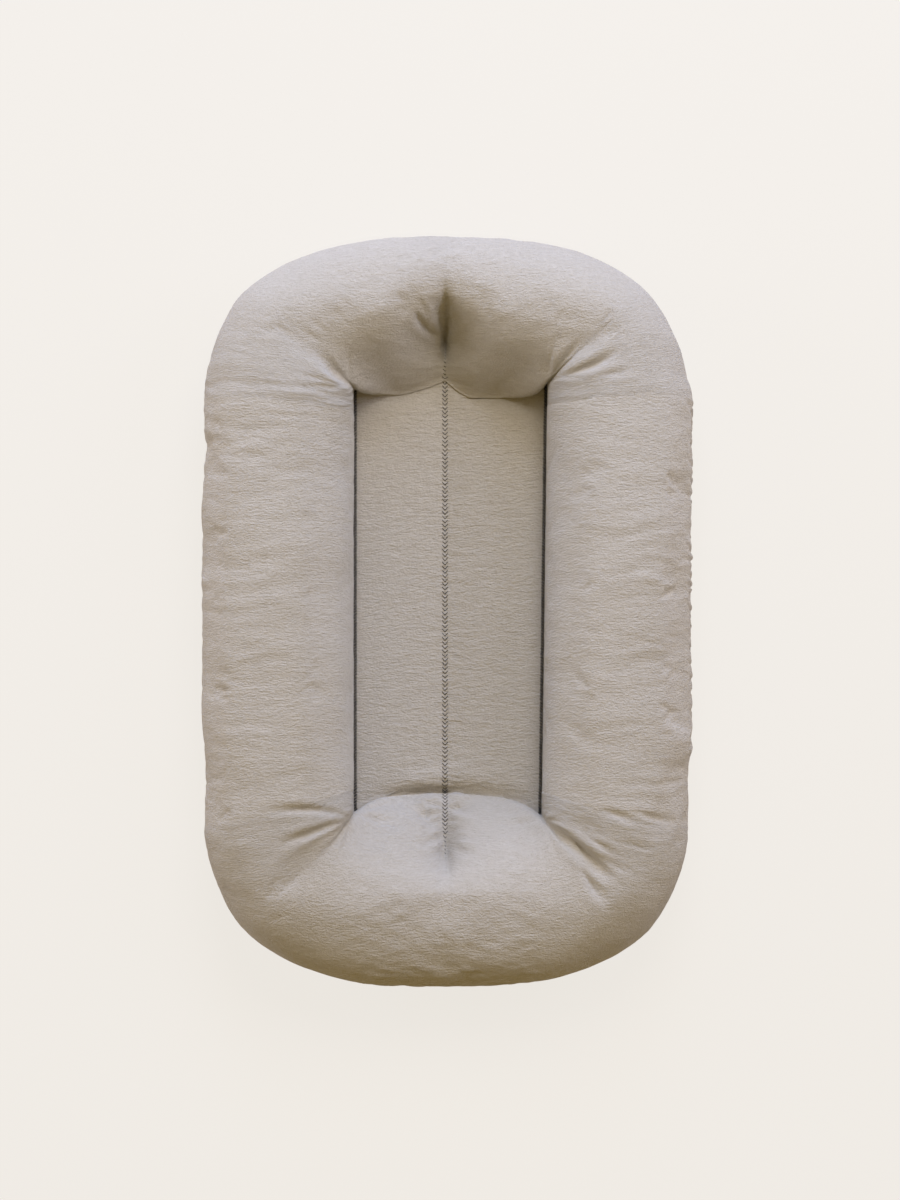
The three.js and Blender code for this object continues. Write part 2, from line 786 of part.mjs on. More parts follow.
function zipSlider() {
  const post = solidOf(box(
    new THREE.Vector3(-FRONT_FACE + PLATE / 2, SLIDER_LENGTH / 2 - POST_LENGTH,
      -TEETH_SPLIT / 2 + GAP),
    new THREE.Vector3(FRONT_FACE - PLATE / 2, SLIDER_LENGTH / 2 - PLATE / 2,
      TEETH_SPLIT / 2 - GAP),
  ));
  const half = BRIDGE_LENGTH / 2;
  const span = BRIDGE_TOP + PLATE - BRIDGE_LEG / 2;
  const arch = new THREE.Shape();
  arch.moveTo(FRONT_FACE - PLATE / 2, -half);
  arch.lineTo(span - BRIDGE_LEG, -half);
  arch.lineTo(span, -half + BRIDGE_LEG);
  arch.lineTo(span, half - BRIDGE_LEG);
  arch.lineTo(span - BRIDGE_LEG, half);
  arch.lineTo(FRONT_FACE - PLATE / 2, half);
  arch.lineTo(FRONT_FACE - PLATE / 2, half - BRIDGE_LEG);
  arch.lineTo(BRIDGE_TOP, half - BRIDGE_LEG);
  arch.lineTo(BRIDGE_TOP, -half + BRIDGE_LEG);
  arch.lineTo(FRONT_FACE - PLATE / 2, -half + BRIDGE_LEG);
  arch.closePath();
  const bridge = new THREE.ExtrudeGeometry(arch, { depth: BRIDGE_WIDTH, bevelEnabled: false });
  bridge.translate(0, 0, -BRIDGE_WIDTH / 2);
  const plates = sliderPlate(1).add(sliderPlate(-1)).intersect(sliderOutline());
  return geometryOf(plates.add(post).add(solidOf(bridge)));
}

// The pull tab, hung on the bar across its eye, which passes under the slider's bridge
function zipPullTab() {
  const bar = TAB_THICKNESS / 2;
  const half = TAB_WIDTH / 2;
  const eye = TAB_EYE_WIDTH / 2;
  const tip = bar - TAB_LENGTH;
  const outline = new THREE.Shape();
  outline.moveTo(bar, -half);
  outline.lineTo(bar, half);
  outline.lineTo(tip + half, half);
  outline.absarc(tip + half, 0, half, Math.PI / 2, Math.PI * 1.5, false);
  outline.closePath();
  const hole = new THREE.Path();
  hole.moveTo(-bar, -eye);
  hole.lineTo(-TAB_EYE_LENGTH, -eye);
  hole.lineTo(-TAB_EYE_LENGTH, eye);
  hole.lineTo(-bar, eye);
  hole.closePath();
  outline.holes.push(hole);
  return facingOut(outline, TAB_THICKNESS, -bar);
}

// Assembly
function named(name, geometry, material) {
  const mesh = new THREE.Mesh(geometry, material);
  mesh.name = name;
  return mesh;
}

function shell() {
  const group = new THREE.Group();
  group.add(
    named('top_panel', topPanel(), cloth(GREIGE)),
    named('base_panel', basePanel(), cloth(GREIGE)),
    named('perimeter_seam_tape', perimeterSeamTape(), cloth(UNDYED)),
    named('left_floor_wadding', floorWadding(LEFT), cloth(FIBRE, 1)),
    named('right_floor_wadding', floorWadding(RIGHT), cloth(FIBRE, 1)),
  );
  return group;
}

function stitching() {
  const group = new THREE.Group();
  group.add(
    named('left_well_stitching', sideStitching(LEFT, true), cloth(CHARCOAL)),
    named('right_well_stitching', sideStitching(RIGHT, true), cloth(CHARCOAL)),
    named('centre_well_stitching', centreStitching(true), cloth(CHARCOAL)),
    named('left_under_stitching', sideStitching(LEFT, false), cloth(CHARCOAL)),
    named('right_under_stitching', sideStitching(RIGHT, false), cloth(CHARCOAL)),
    named('centre_under_stitching', centreStitching(false), cloth(CHARCOAL)),
  );
  return group;
}

function bolster() {
  const group = new THREE.Group();
  group.add(
    named('bolster_lining_upper', liningUpper(), cloth(UNDYED)),
    named('bolster_lining_lower', liningLower(), cloth(UNDYED)),
    named('bolster_filling', bolsterFilling(), cloth(FIBRE, 1)),
  );
  return group;
}

function zipHalf(direction, label) {
  const chain = new THREE.Group();
  chain.position.set(chainAcross(), 0, SEAM_HEIGHT);
  chain.add(
    named(`zip_teeth_${label}`, zipTeeth(direction), cloth(ZIP_NYLON, 0.5)),
    named(`zip_top_stop_${label}`, topStop(direction), metal(ZIP_METAL)),
  );
  const group = new THREE.Group();
  group.add(named(`zip_tape_${label}`, zipTape(direction), cloth(ZIP_CLOTH)), chain);
  return group;
}

function sliderAndTab() {
  const group = new THREE.Group();
  group.position.set(chainAcross(), SLIDER_REST, SEAM_HEIGHT);
  const tab = named('zip_pull_tab', zipPullTab(), metal(ZIP_METAL));
  tab.position.x = TAB_AXIS;
  group.add(named('zip_slider', zipSlider(), metal(ZIP_METAL)), tab);
  return group;
}

function zip() {
  const stop = named('zip_bottom_stop', bottomStop(), metal(ZIP_METAL));
  stop.position.set(chainAcross(), 0, SEAM_HEIGHT);
  const group = new THREE.Group();
  group.add(zipHalf(1, 'upper'), zipHalf(-1, 'lower'), stop, sliderAndTab());
  return group;
}

const lounger = new THREE.Group();
lounger.add(shell(), stitching(), bolster(), zip());

export default lounger;
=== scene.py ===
import json
import math
from collections import namedtuple

import bmesh
import bpy
import numpy as np
from mathutils.bvhtree import BVHTree
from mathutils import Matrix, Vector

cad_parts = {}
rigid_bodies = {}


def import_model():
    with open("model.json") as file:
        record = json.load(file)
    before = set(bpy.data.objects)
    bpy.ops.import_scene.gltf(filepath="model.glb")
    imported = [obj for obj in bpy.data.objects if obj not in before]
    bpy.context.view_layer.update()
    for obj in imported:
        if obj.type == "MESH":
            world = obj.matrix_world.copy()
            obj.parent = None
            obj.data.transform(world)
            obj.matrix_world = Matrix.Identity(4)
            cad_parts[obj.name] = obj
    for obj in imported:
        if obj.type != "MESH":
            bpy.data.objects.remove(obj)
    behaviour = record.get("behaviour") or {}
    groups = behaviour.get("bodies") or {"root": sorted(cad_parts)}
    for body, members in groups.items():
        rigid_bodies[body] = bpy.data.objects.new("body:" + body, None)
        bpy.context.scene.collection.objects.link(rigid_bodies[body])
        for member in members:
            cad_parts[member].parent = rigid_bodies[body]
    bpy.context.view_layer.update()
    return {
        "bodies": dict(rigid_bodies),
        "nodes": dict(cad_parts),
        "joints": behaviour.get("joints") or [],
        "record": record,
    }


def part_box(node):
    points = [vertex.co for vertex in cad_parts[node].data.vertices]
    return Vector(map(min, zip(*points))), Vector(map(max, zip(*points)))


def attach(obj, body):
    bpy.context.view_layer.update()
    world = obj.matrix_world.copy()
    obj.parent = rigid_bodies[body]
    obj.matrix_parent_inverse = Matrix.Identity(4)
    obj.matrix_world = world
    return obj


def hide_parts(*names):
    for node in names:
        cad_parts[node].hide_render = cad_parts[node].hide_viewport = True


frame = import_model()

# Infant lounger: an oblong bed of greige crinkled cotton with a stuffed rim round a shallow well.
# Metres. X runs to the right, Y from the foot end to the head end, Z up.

RIGHT, LEFT = 1, -1
HEAD, FOOT = 1, -1
UP, DOWN = 1, -1

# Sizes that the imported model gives
PANEL_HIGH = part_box("top_panel")[1]
HALF_WIDTH = PANEL_HIGH.x
HALF_LENGTH = PANEL_HIGH.y
CREST_DROP = 0.004
CREST = PANEL_HIGH.z - CREST_DROP
CHAIN_LOW, CHAIN_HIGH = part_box("zip_teeth_upper")

# Outline and rim
HALF_FLANK = 0.212
CAP_LENGTH = HALF_LENGTH - HALF_FLANK
CORNER_ACROSS_POWER = 2.5
CORNER_ALONG_POWER = 2.15
SEAM_HEIGHT = 0.038
FLATTENING = 0.004
RIM_POWER = 2.3
INNER_POWER = {RIGHT: RIM_POWER, LEFT: 3.0}
UNDER_CURVE = 0.077
UNDER_TURN = math.radians(110)
SIDE_OVERHANG = 0.0003
SIDE_BULGE_LIFT = 0.036
TUCK_POWER = 1.3

# The shoulders are drawn in a little between the flanks and the ends, but not beside the zip
Draw = namedtuple("Draw", "start full share")
SHOULDER_DRAWS = (Draw(0.08, 0.17, 0.020), Draw(0.21, 0.265, 0.012))
SHOULDER_END = (0.27, 0.33)
ZIP_SIDE_REACH = 0.1
ZIP_SIDE_FADE = 0.03

# Well
CENTRE_SHIFT = -0.0015
LEFT_SEAM_REACH = 0.0929
RIGHT_SEAM_HEAD = 0.1008
RIGHT_SEAM_FOOT = 0.0952
WELL_HEIGHT = 0.012
WELL_CORNER = 0.025
CORNER_PLACE_SHARE = 0.45
CORNER_ROUNDING_SHARE = 0.03
CORNER_BLEND = (CORNER_PLACE_SHARE - 0.15, CORNER_PLACE_SHARE + 0.3)
STITCHED_END = (CORNER_PLACE_SHARE - 0.05, CORNER_PLACE_SHARE + 0.05)
CREST_SHIFT_REACH = 0.5
CREST_SHIFT_POWER = 1.5
SPINE_DRAW = 2.6
SPINE_GAP = 0.0015
PANEL_PAIR = 0.0023
FLOOR_PUFF = 0.0042
FLOOR_ROLL = 0.010
UNDER_PUFF = 0.0012
PAD_SQUARENESS = 2.6
PAD_FULLNESS = 1.15

# Perimeter seam and the zip's opening in it
SEAM_GAP = 0.0002
SEAM_ROLL = 0.0016
SEAM_ROLL_HEIGHT = 0.0016
SEAM_DEPTH = 0.004
LIP_OPENING = 0.0042
LIP_EASE = 0.006
LIP_DEPTH = 0.0095
ZIP_FOOT_ROOM = 0.023
ZIP_HEAD_ROOM = 0.003
ZIP_FOOT = CHAIN_LOW.y - ZIP_FOOT_ROOM
ZIP_HEAD = CHAIN_HIGH.y + ZIP_HEAD_ROOM

# The ends of the well. The floor meets each end of the rim along a line that leans in from the ends of the
# side seams. The centre seam runs on up the slope in a valley, and pulls it down most at the seam's end, which
# is the tuft. Pairs of values are for the right-hand side and the left-hand side.
End = namedtuple(
    "End", "floor side_seam line lean_power near near_share climb lift dip roundness fillet crest_shift"
)
ENDS = {
    HEAD: End(
        floor=0.212, side_seam=(0.2300, 0.2236), line=(0.2137, 0.2166), lean_power=12,
        near=0.2310, near_share=(0.26, 0.50), climb=1.4,
        lift=0.002, dip=0.009, roundness=1.42, fillet=0.12, crest_shift=0.012,
    ),
    FOOT: End(
        floor=0.176, side_seam=(0.2040, 0.2004), line=(0.1838, 0.1826), lean_power=4.2,
        near=0.1815, near_share=(0.6, 0.6), climb=1.5,
        lift=0.002, dip=0.007, roundness=1.45, fillet=0.012, crest_shift=0.0,
    ),
}
Valley = namedtuple(
    "Valley", "tuft depth start full rise fall wide narrow power under slit slit_width slit_length"
)
VALLEYS = {
    HEAD: Valley(
        tuft=0.2740, depth=0.035, start=0.2290, full=0.272, rise=1.3, fall=0.034, wide=0.029, narrow=0.022,
        power=1.8, under=0.010, slit=0.023, slit_width=0.0030, slit_length=0.017,
    ),
    FOOT: Valley(
        tuft=0.2425, depth=0.033, start=0.1835, full=0.236, rise=0.8, fall=0.016, wide=0.021, narrow=0.0150,
        power=1.8, under=0.010, slit=0.0090, slit_width=0.0048, slit_length=0.016,
    ),
}
VALLEY_EDGE = (0.032, 0.062)
UNDER_VALLEY_EASE = 0.004
ROWS_LEFT_FLAT = (6, 14)

# How many steps each stretch of the cloth takes: round the bed, and down each slice
Steps = namedtuple("Steps", "flank cap floor tuck inner outer side turn under_outer under_inner under_floor")
FINE = Steps(212, 140, 34, 10, 40, 44, 9, 3, 20, 16, 14)
DRAFT = Steps(106, 72, 20, 6, 22, 24, 6, 3, 12, 9, 8)
COARSE = Steps(106, 70, 8, 4, 20, 22, 5, 3, 12, 9, 8)


def lerp(a, b, share):
    return a + (b - a) * share


def ease(value, start=0.0, end=1.0):
    share = np.clip((value - start) / (end - start), 0, 1)
    return share * share * (3 - 2 * share)


def fade_out(value, start, end):
    """1 up to the start, and nothing from the end on."""
    return ease(-value, -end, -start)


def bell(gap, width=1.0):
    """1 in the middle, and next to nothing at twice the width."""
    return np.exp(-(gap / width) ** 2)


def full(value, power=RIM_POWER):
    return np.sign(value) * np.abs(value) ** (2 / power)


def smooth_ramp(value):
    return (value + np.sqrt(value * value + CORNER_ROUNDING_SHARE ** 2)) / 2


def corner_share(value, lowest):
    """Nothing up to 0, then a straight climb to 1, with a rounded corner between them."""
    bottom = smooth_ramp(lowest)
    return (smooth_ramp(value) - bottom) / (smooth_ramp(1.0) - bottom)


# Noise for wrinkles and stuffing: gradients on a lattice, with a fixed seed for each use
COLUMN_MIX, ROW_MIX, SEED_MIX, KEY_MIX = 374761393, 668265263, 2246822519, 1274126177
KEY_BITS = 0xFFFFFFFF
ANGLE_BITS = 0xFFFF
NOISE_REACH = 1.6
BEND_REACH = 0.9
BEND_SPREAD = 4
BEND_SEED = 7


def lattice_gradient(column, row, seed):
    key = (column * COLUMN_MIX + row * ROW_MIX + seed * SEED_MIX) & KEY_BITS
    key = ((key ^ (key >> 13)) * KEY_MIX) & KEY_BITS
    angle = ((key ^ (key >> 16)) & ANGLE_BITS) / ANGLE_BITS * 2 * math.pi
    return np.cos(angle), np.sin(angle)


def noise(x, y, seed):
    column = np.floor(x).astype(np.int64)
    row = np.floor(y).astype(np.int64)
    across, along = x - column, y - row
    fade_across, fade_along = (v ** 3 * (v * (v * 6 - 15) + 10) for v in (across, along))

    def corner(i, j):
        gx, gy = lattice_gradient(column + i, row + j, seed)
        return gx * (across - i) + gy * (along - j)

    low = lerp(corner(0, 0), corner(1, 0), fade_across)
    high = lerp(corner(0, 1), corner(1, 1), fade_across)
    return lerp(low, high, fade_along) * NOISE_REACH


def streaks(x, y, length, width, seed):
    """Long soft wrinkles that run along X, bent a little by a broader noise."""
    bent = y + width * BEND_REACH * noise(x / length, y / (BEND_SPREAD * width), seed + BEND_SEED)
    return noise(x / length, bent / width, seed)


# The ring of slices that the cloth is laid over
def own(pair, side):
    """The value of a pair that is for this side."""
    return pair[side == LEFT]


def seam_across(side, along):
    if side == LEFT:
        return np.full_like(along, -LEFT_SEAM_REACH)
    head, foot = ENDS[HEAD].side_seam[0], ENDS[FOOT].side_seam[0]
    return lerp(RIGHT_SEAM_FOOT, RIGHT_SEAM_HEAD, (along + foot) / (head + foot))


def beside_zip(along, room):
    """1 beside the zip's opening, and nothing a little way past its ends."""
    return ease(along, ZIP_FOOT - room, ZIP_FOOT) * fade_out(along, ZIP_HEAD, ZIP_HEAD + room)


def zip_opening(side, along):
    """How far each lip stands from the perimeter seam's line."""
    return lerp(SEAM_GAP, LIP_OPENING, beside_zip(along, LIP_EASE) * (side == RIGHT))


def plan_points(across, along):
    return np.stack(np.broadcast_arrays(across, along), 1)


def filled(slices):
    """Spreads each single value over all slices."""
    count = len(slices["edge"])
    return {key: value if np.ndim(value) else np.full(count, float(value)) for key, value in slices.items()}


def flank_slices(side, along):
    share = (along + HALF_FLANK) / (2 * HALF_FLANK)
    head, foot = ENDS[HEAD], ENDS[FOOT]
    seam_foot, seam_head = own(foot.side_seam, side), own(head.side_seam, side)
    well_along = lerp(WELL_CORNER - seam_foot, seam_head - WELL_CORNER, share)
    spine_along = lerp(WELL_CORNER - foot.floor, head.floor - WELL_CORNER, share)
    return filled({
        "edge": plan_points(side * HALF_WIDTH, along),
        "well": plan_points(seam_across(side, well_along), well_along),
        "spine": plan_points(CENTRE_SHIFT, spine_along),
        "lip": zip_opening(side, along),
        "crest": CREST,
        "crest_shift": 0,
        "overhang": SIDE_OVERHANG,
        "lift": SIDE_BULGE_LIFT,
        "inner_power": INNER_POWER[side],
        "slope": 0,
        "roundness": 1,
        "fillet": 0,
        "stitched": 1,
    })


def well_line(side, sizes, across):
    """How far along the bed the floor meets the end of the rim."""
    seam, line, share = (own(pair, side) for pair in (sizes.side_seam, sizes.line, sizes.near_share))
    lean = (seam - line) * (1 - across ** sizes.lean_power)
    near = np.maximum(0, 1 - across / share) ** sizes.climb
    return seam - lean + (sizes.near - line) * near


def cap_slices(side, end, step):
    sizes = ENDS[end]
    angle = step * math.pi / 2
    edge_across = HALF_WIDTH * np.cos(angle).clip(0) ** (2 / CORNER_ACROSS_POWER)
    edge_along = HALF_FLANK + CAP_LENGTH * np.sin(angle) ** (2 / CORNER_ALONG_POWER)

    # The well's edge follows the side seam to its end, then turns across the bed
    past = (step - CORNER_PLACE_SHARE) / (1 - CORNER_PLACE_SHARE)
    across = 1 - corner_share(past, -CORNER_PLACE_SHARE / (1 - CORNER_PLACE_SHARE))
    before = (CORNER_PLACE_SHARE - step) / CORNER_PLACE_SHARE
    left_to_climb = corner_share(before, 1 - 1 / CORNER_PLACE_SHARE)
    well_along = well_line(side, sizes, across) - WELL_CORNER * left_to_climb
    seam = seam_across(side, end * own(sizes.side_seam, side))
    spine_along = lerp(sizes.floor - WELL_CORNER, sizes.near - SPINE_GAP, step ** SPINE_DRAW)
    blend = ease(step, *CORNER_BLEND)
    return filled({
        "edge": plan_points(side * edge_across, end * edge_along),
        "well": plan_points(lerp(CENTRE_SHIFT, seam, across), end * well_along),
        "spine": plan_points(CENTRE_SHIFT, end * spine_along),
        "lip": SEAM_GAP,
        "crest": CREST - sizes.dip * (1 - across) ** 2,
        "crest_shift": sizes.crest_shift * np.maximum(0, 1 - across / CREST_SHIFT_REACH) ** CREST_SHIFT_POWER,
        "overhang": lerp(SIDE_OVERHANG, 0, blend),
        "lift": lerp(SIDE_BULGE_LIFT, sizes.lift, blend),
        "inner_power": lerp(INNER_POWER[side], RIM_POWER, blend),
        "slope": blend,
        "roundness": sizes.roundness,
        "fillet": sizes.fillet,
        "stitched": fade_out(step, *STITCHED_END),
    })


def shoulder_share(plan):
    """How far across the outline lies, as a share of its plain oval form."""
    far = np.abs(plan[:, 1])
    drawn = sum(draw.share * ease(far, draw.start, draw.full) for draw in SHOULDER_DRAWS)
    at_zip = ease(plan[:, 0], 0, ZIP_SIDE_REACH) * beside_zip(plan[:, 1], ZIP_SIDE_FADE)
    return 1 - drawn * fade_out(far, *SHOULDER_END) * (1 - at_zip)


def ring_of_slices(steps):
    """All slices, counter-clockwise from the foot end of the right-hand flank."""
    along = np.linspace(-HALF_FLANK, HALF_FLANK, steps.flank, endpoint=False)
    opening = np.linspace(0, 1, steps.cap, endpoint=False)
    closing = np.linspace(1, 0, steps.cap, endpoint=False)
    parts = [
        flank_slices(RIGHT, along),
        cap_slices(RIGHT, HEAD, opening),
        cap_slices(LEFT, HEAD, closing),
        flank_slices(LEFT, -along),
        cap_slices(LEFT, FOOT, opening),
        cap_slices(RIGHT, FOOT, closing),
    ]
    ring = {key: np.concatenate([part[key] for part in parts]) for key in parts[0]}
    ring["edge"][:, 0] *= shoulder_share(ring["edge"])
    out = ring["edge"] - ring["well"]
    ring["width"] = np.linalg.norm(out, axis=1)
    ring["out"] = out / ring["width"][:, None]
    ring["centre"] = (ring["width"] - ring["overhang"]) / 2 + ring["crest_shift"]
    ring["outer_half"] = ring["width"] - ring["centre"]
    ring["inner_half"] = ring["centre"] + ring["overhang"]
    ring["middle"] = ring["crest"] / 2
    return ring


def mirror_slice(steps):
    """For each slice, the one across the centre seam from it."""
    count = 2 * steps.flank + 4 * steps.cap
    return (2 * steps.flank + 2 * steps.cap - np.arange(count)) % count


def middle_slice(end, steps):
    """The slice that lies over the centre seam at one end."""
    return steps.flank + steps.cap if end == HEAD else 2 * steps.flank + 3 * steps.cap


# Rows of points down each slice. Each function gives reach from the well seam and height.
def column(ring, key):
    return ring[key][:, None]


def shares(count, first=0.0, last=1.0):
    """Even steps for so many rows, without the last value."""
    return np.linspace(first, last, count, endpoint=False)[None, :]


def seam_curve(ring, angle):
    return column(ring, "width") - UNDER_CURVE + full(np.cos(angle)) * UNDER_CURVE


def under_height(ring, angle):
    middle = column(ring, "middle")
    return middle - full(np.sin(angle)) * (middle + FLATTENING)


def angle_at_height(ring, height):
    middle = column(ring, "middle")
    drop = np.clip((middle - height) / (middle + FLATTENING), 0, 1)
    return np.arcsin(drop ** (RIM_POWER / 2))


def seam_side_rows(ring, count, direction):
    """From one lip of the perimeter seam up to the rim's widest line, or down to the flat that it rests on."""
    lip_height = SEAM_HEIGHT + direction * column(ring, "lip")
    last = 0 if direction == UP else math.pi / 2
    angle = lerp(angle_at_height(ring, lip_height), last, shares(count))
    height = under_height(ring, angle)
    rolled = np.exp(direction * (lip_height - height) / SEAM_ROLL_HEIGHT)
    return seam_curve(ring, angle) - SEAM_ROLL * rolled, np.maximum(height, 0)


def outer_rows(ring, count):
    angle = shares(count, 0, math.pi / 2)
    middle = column(ring, "middle")
    reach = column(ring, "centre") + full(np.cos(angle)) * column(ring, "outer_half")
    return reach, middle + full(np.sin(angle)) * (column(ring, "crest") - middle)


def inner_rows(ring, count):
    """From the crest down to the well: a round side along the flanks, and a straight slope at the ends."""
    angle = shares(count, math.pi / 2, math.pi)
    power, straight, fillet = (column(ring, key) for key in ("inner_power", "slope", "fillet"))
    across = 1 + lerp(full(np.cos(angle), power), np.cos(angle), straight)
    slope = 1 - (1 - across).clip(0) ** column(ring, "roundness")
    slope = slope * (1 + fillet) * across / (across + fillet)
    share = lerp(full(np.sin(angle), power), slope, straight)
    level = WELL_HEIGHT + column(ring, "lift")
    height = level + share * (column(ring, "crest") - level)
    return column(ring, "centre") + (across - 1) * column(ring, "inner_half"), height


def tuck_rows(ring, count):
    """The short way under the rim's bulge down to the well seam."""
    angle = shares(count, 0, math.pi / 2)
    height = WELL_HEIGHT + column(ring, "lift") * (1 - np.sin(angle)) ** TUCK_POWER
    return -column(ring, "overhang") * np.cos(angle), height


def under_inner_rows(ring, count):
    """The flat, and the slope from it up to the underside of the floor."""
    reach = lerp(seam_curve(ring, math.pi / 2), 0, shares(count))
    foot = column(ring, "centre") + full(math.cos(UNDER_TURN)) * column(ring, "inner_half")
    return reach, (WELL_HEIGHT - PANEL_PAIR) * ease(foot - reach, 0, foot)


def lift_slice(ring, reach, height):
    """Points in space from reaches and heights."""
    plan = ring["well"][:, None, :] + ring["out"][:, None, :] * reach[:, :, None]
    return np.concatenate([plan, (height + 0 * reach)[:, :, None]], 2)


def pad_profile(share):
    """The crown of the floor's wadding between two rows of stitches."""
    return (1 - np.abs(2 * share.clip(0, 1) - 1) ** PAD_SQUARENESS) ** PAD_FULLNESS


def floor_crown(plan):
    """Nothing at the seams and at the ends of the well, and 1 where the wadding is thickest."""
    crown = np.zeros(plan.shape[:-1])
    for side in (RIGHT, LEFT):
        reach = side * (plan[..., 0] - CENTRE_SHIFT)
        seam = side * (seam_across(side, plan[..., 1]) - CENTRE_SHIFT)
        across = (reach / seam).clip(0, 1)
        part = pad_profile(across) * (reach > 0)
        for end, sizes in ENDS.items():
            room = well_line(side, sizes, across) - end * plan[..., 1]
            part = part * (1 - bell(room.clip(0), FLOOR_ROLL))
        crown += part
    return crown


def floor_points(ring, share, rise, drop):
    plan = lerp(ring["well"][:, None, :], ring["spine"][:, None, :], share[None, :, None])
    height = WELL_HEIGHT - drop + rise * floor_crown(plan)
    return np.concatenate([plan, height[:, :, None]], 2)


def seam_lip(ring, direction):
    """The edge of one lip, how deep its cloth is turned in, and its height."""
    lip = column(ring, "lip")
    height = SEAM_HEIGHT + direction * lip
    edge = seam_curve(ring, angle_at_height(ring, height)) - SEAM_ROLL
    return edge, lerp(SEAM_DEPTH, LIP_DEPTH, (lip - SEAM_GAP) / (LIP_OPENING - SEAM_GAP)), height


def seam_turn(ring, count, direction):
    """The turned-in cloth of one lip, from deep inside to its edge."""
    edge, depth, height = seam_lip(ring, direction)
    share = shares(count, 1, 0)
    return edge - depth * share, height + 0 * share


def joined_rows(stretches):
    """One grid from the stretches of each slice, and the row at which each of them starts."""
    counts = [stretch.shape[1] for stretch in stretches]
    return np.concatenate(stretches, 1), np.cumsum([0] + counts)


def top_cloth(ring, steps):
    """The upper panel from the centre seam out over the rim and down to the perimeter seam."""
    rows = [
        tuck_rows(ring, steps.tuck),
        inner_rows(ring, steps.inner),
        outer_rows(ring, steps.outer),
        seam_side_rows(ring, steps.side, UP),
        seam_turn(ring, steps.turn, UP),
    ]
    well = lift_slice(ring, np.zeros((len(ring["width"]), 1)), WELL_HEIGHT)
    rim = [lift_slice(ring, reach[:, ::-1], height[:, ::-1]) for reach, height in rows]
    floor = floor_points(ring, shares(steps.floor, 1, 0)[0], FLOOR_PUFF, 0)
    return joined_rows([floor, well, *rim])


def base_cloth(ring, steps):
    """The lower panel from the perimeter seam, under the rim and in to the centre seam."""
    rows = [
        seam_turn(ring, steps.turn, DOWN),
        seam_side_rows(ring, steps.under_outer, DOWN),
        under_inner_rows(ring, steps.under_inner),
    ]
    floor = floor_points(ring, np.linspace(0, 1, steps.under_floor + 1), -UNDER_PUFF, PANEL_PAIR)
    return joined_rows([*(lift_slice(ring, *stretch) for stretch in rows), floor])


def lengths_from(points, start):
    """Distance along each slice from the row called start, counted both ways."""
    step = np.linalg.norm(np.diff(points, axis=1), axis=2)
    run = np.concatenate([np.zeros((len(points), 1)), np.cumsum(step, 1)], 1)
    return run - run[:, start:start + 1]


def flat_plan(ring, points, start, outwards):
    """Where each point lay in the flat panel before it was sewn."""
    run = lengths_from(points, start) * outwards
    rim = ring["well"][:, None, :] + ring["out"][:, None, :] * run[:, :, None]
    return np.where(run[:, :, None] > 0, rim, points[:, :, :2])


LEAST_LENGTH = 1e-12


def grid_normals(points):
    around = np.roll(points, -1, 0) - np.roll(points, 1, 0)
    down = np.gradient(points, axis=1)
    normal = np.cross(around, down)
    length = np.linalg.norm(normal, axis=2, keepdims=True)
    return normal / np.maximum(length, LEAST_LENGTH)


def facing_up(normal):
    """1 where the normals of a ring of cloth point up on its flank, and -1 where they point down."""
    return np.sign(normal[len(normal) // 8, normal.shape[1] // 2, 2])


# The valleys of the centre seam, and the creases that are drawn by the ends of the rows of stitches
def valley_share(end, plan):
    """How strongly the centre seam's pull is felt at each point: along the valley, and beside it."""
    valley = VALLEYS[end]
    along = end * plan[..., 1]
    beside = np.abs(plan[..., 0] - CENTRE_SHIFT)
    past = np.maximum(along - valley.tuft, 0) / valley.fall
    drawn = ease(along, valley.start, valley.full)
    width = lerp(valley.wide, valley.narrow, drawn)
    side = fade_out(beside, *VALLEY_EDGE) / (1 + (beside / width) ** valley.power)
    return drawn ** valley.rise / (1 + past ** 2) * side, past, beside


def valley_depth(end, plan):
    valley = VALLEYS[end]
    share, past, beside = valley_share(end, plan)
    before = np.maximum(valley.tuft - end * plan[..., 1], 0) / valley.slit_length
    slit = bell(beside, valley.slit_width) * bell(before) * bell(past)
    return valley.depth * share + valley.slit * slit


def pull_valleys(top, base, steps, well_row, base_well):
    """Draws the rim's slope down along the centre seam, and the underside up to meet it."""
    for end, valley in VALLEYS.items():
        top[..., 2] -= valley_depth(end, top)
        slope = top[middle_slice(end, steps), well_row:well_row + steps.tuck + steps.inner]
        along = end * base[..., 1]
        seam = np.interp(along, end * slope[:, 1], slope[:, 2]) - PANEL_PAIR
        _, past, beside = valley_share(end, base)
        started = ease(along, valley.start, valley.start + UNDER_VALLEY_EASE)
        lifted = np.maximum(seam - base[..., 2], 0) * bell(beside, valley.under) * bell(past) * started
        lifted[:, :base_well] *= ease(np.arange(base_well), *ROWS_LEFT_FLAT)[None, :]
        base[..., 2] += lifted


Crease = namedtuple("Crease", "start heading length bow width depth peak")

HEAD_LEFT = (-LEFT_SEAM_REACH, ENDS[HEAD].side_seam[1])
HEAD_RIGHT = (RIGHT_SEAM_HEAD, ENDS[HEAD].side_seam[0])
FOOT_LEFT = (-LEFT_SEAM_REACH, -ENDS[FOOT].side_seam[1])
FOOT_RIGHT = (RIGHT_SEAM_FOOT, -ENDS[FOOT].side_seam[0])
HEAD_TUFT = (CENTRE_SHIFT, VALLEYS[HEAD].tuft)
FOOT_TUFT = (CENTRE_SHIFT, -VALLEYS[FOOT].tuft)


def from_point(point, across, along):
    return (point[0] + across, point[1] + along)


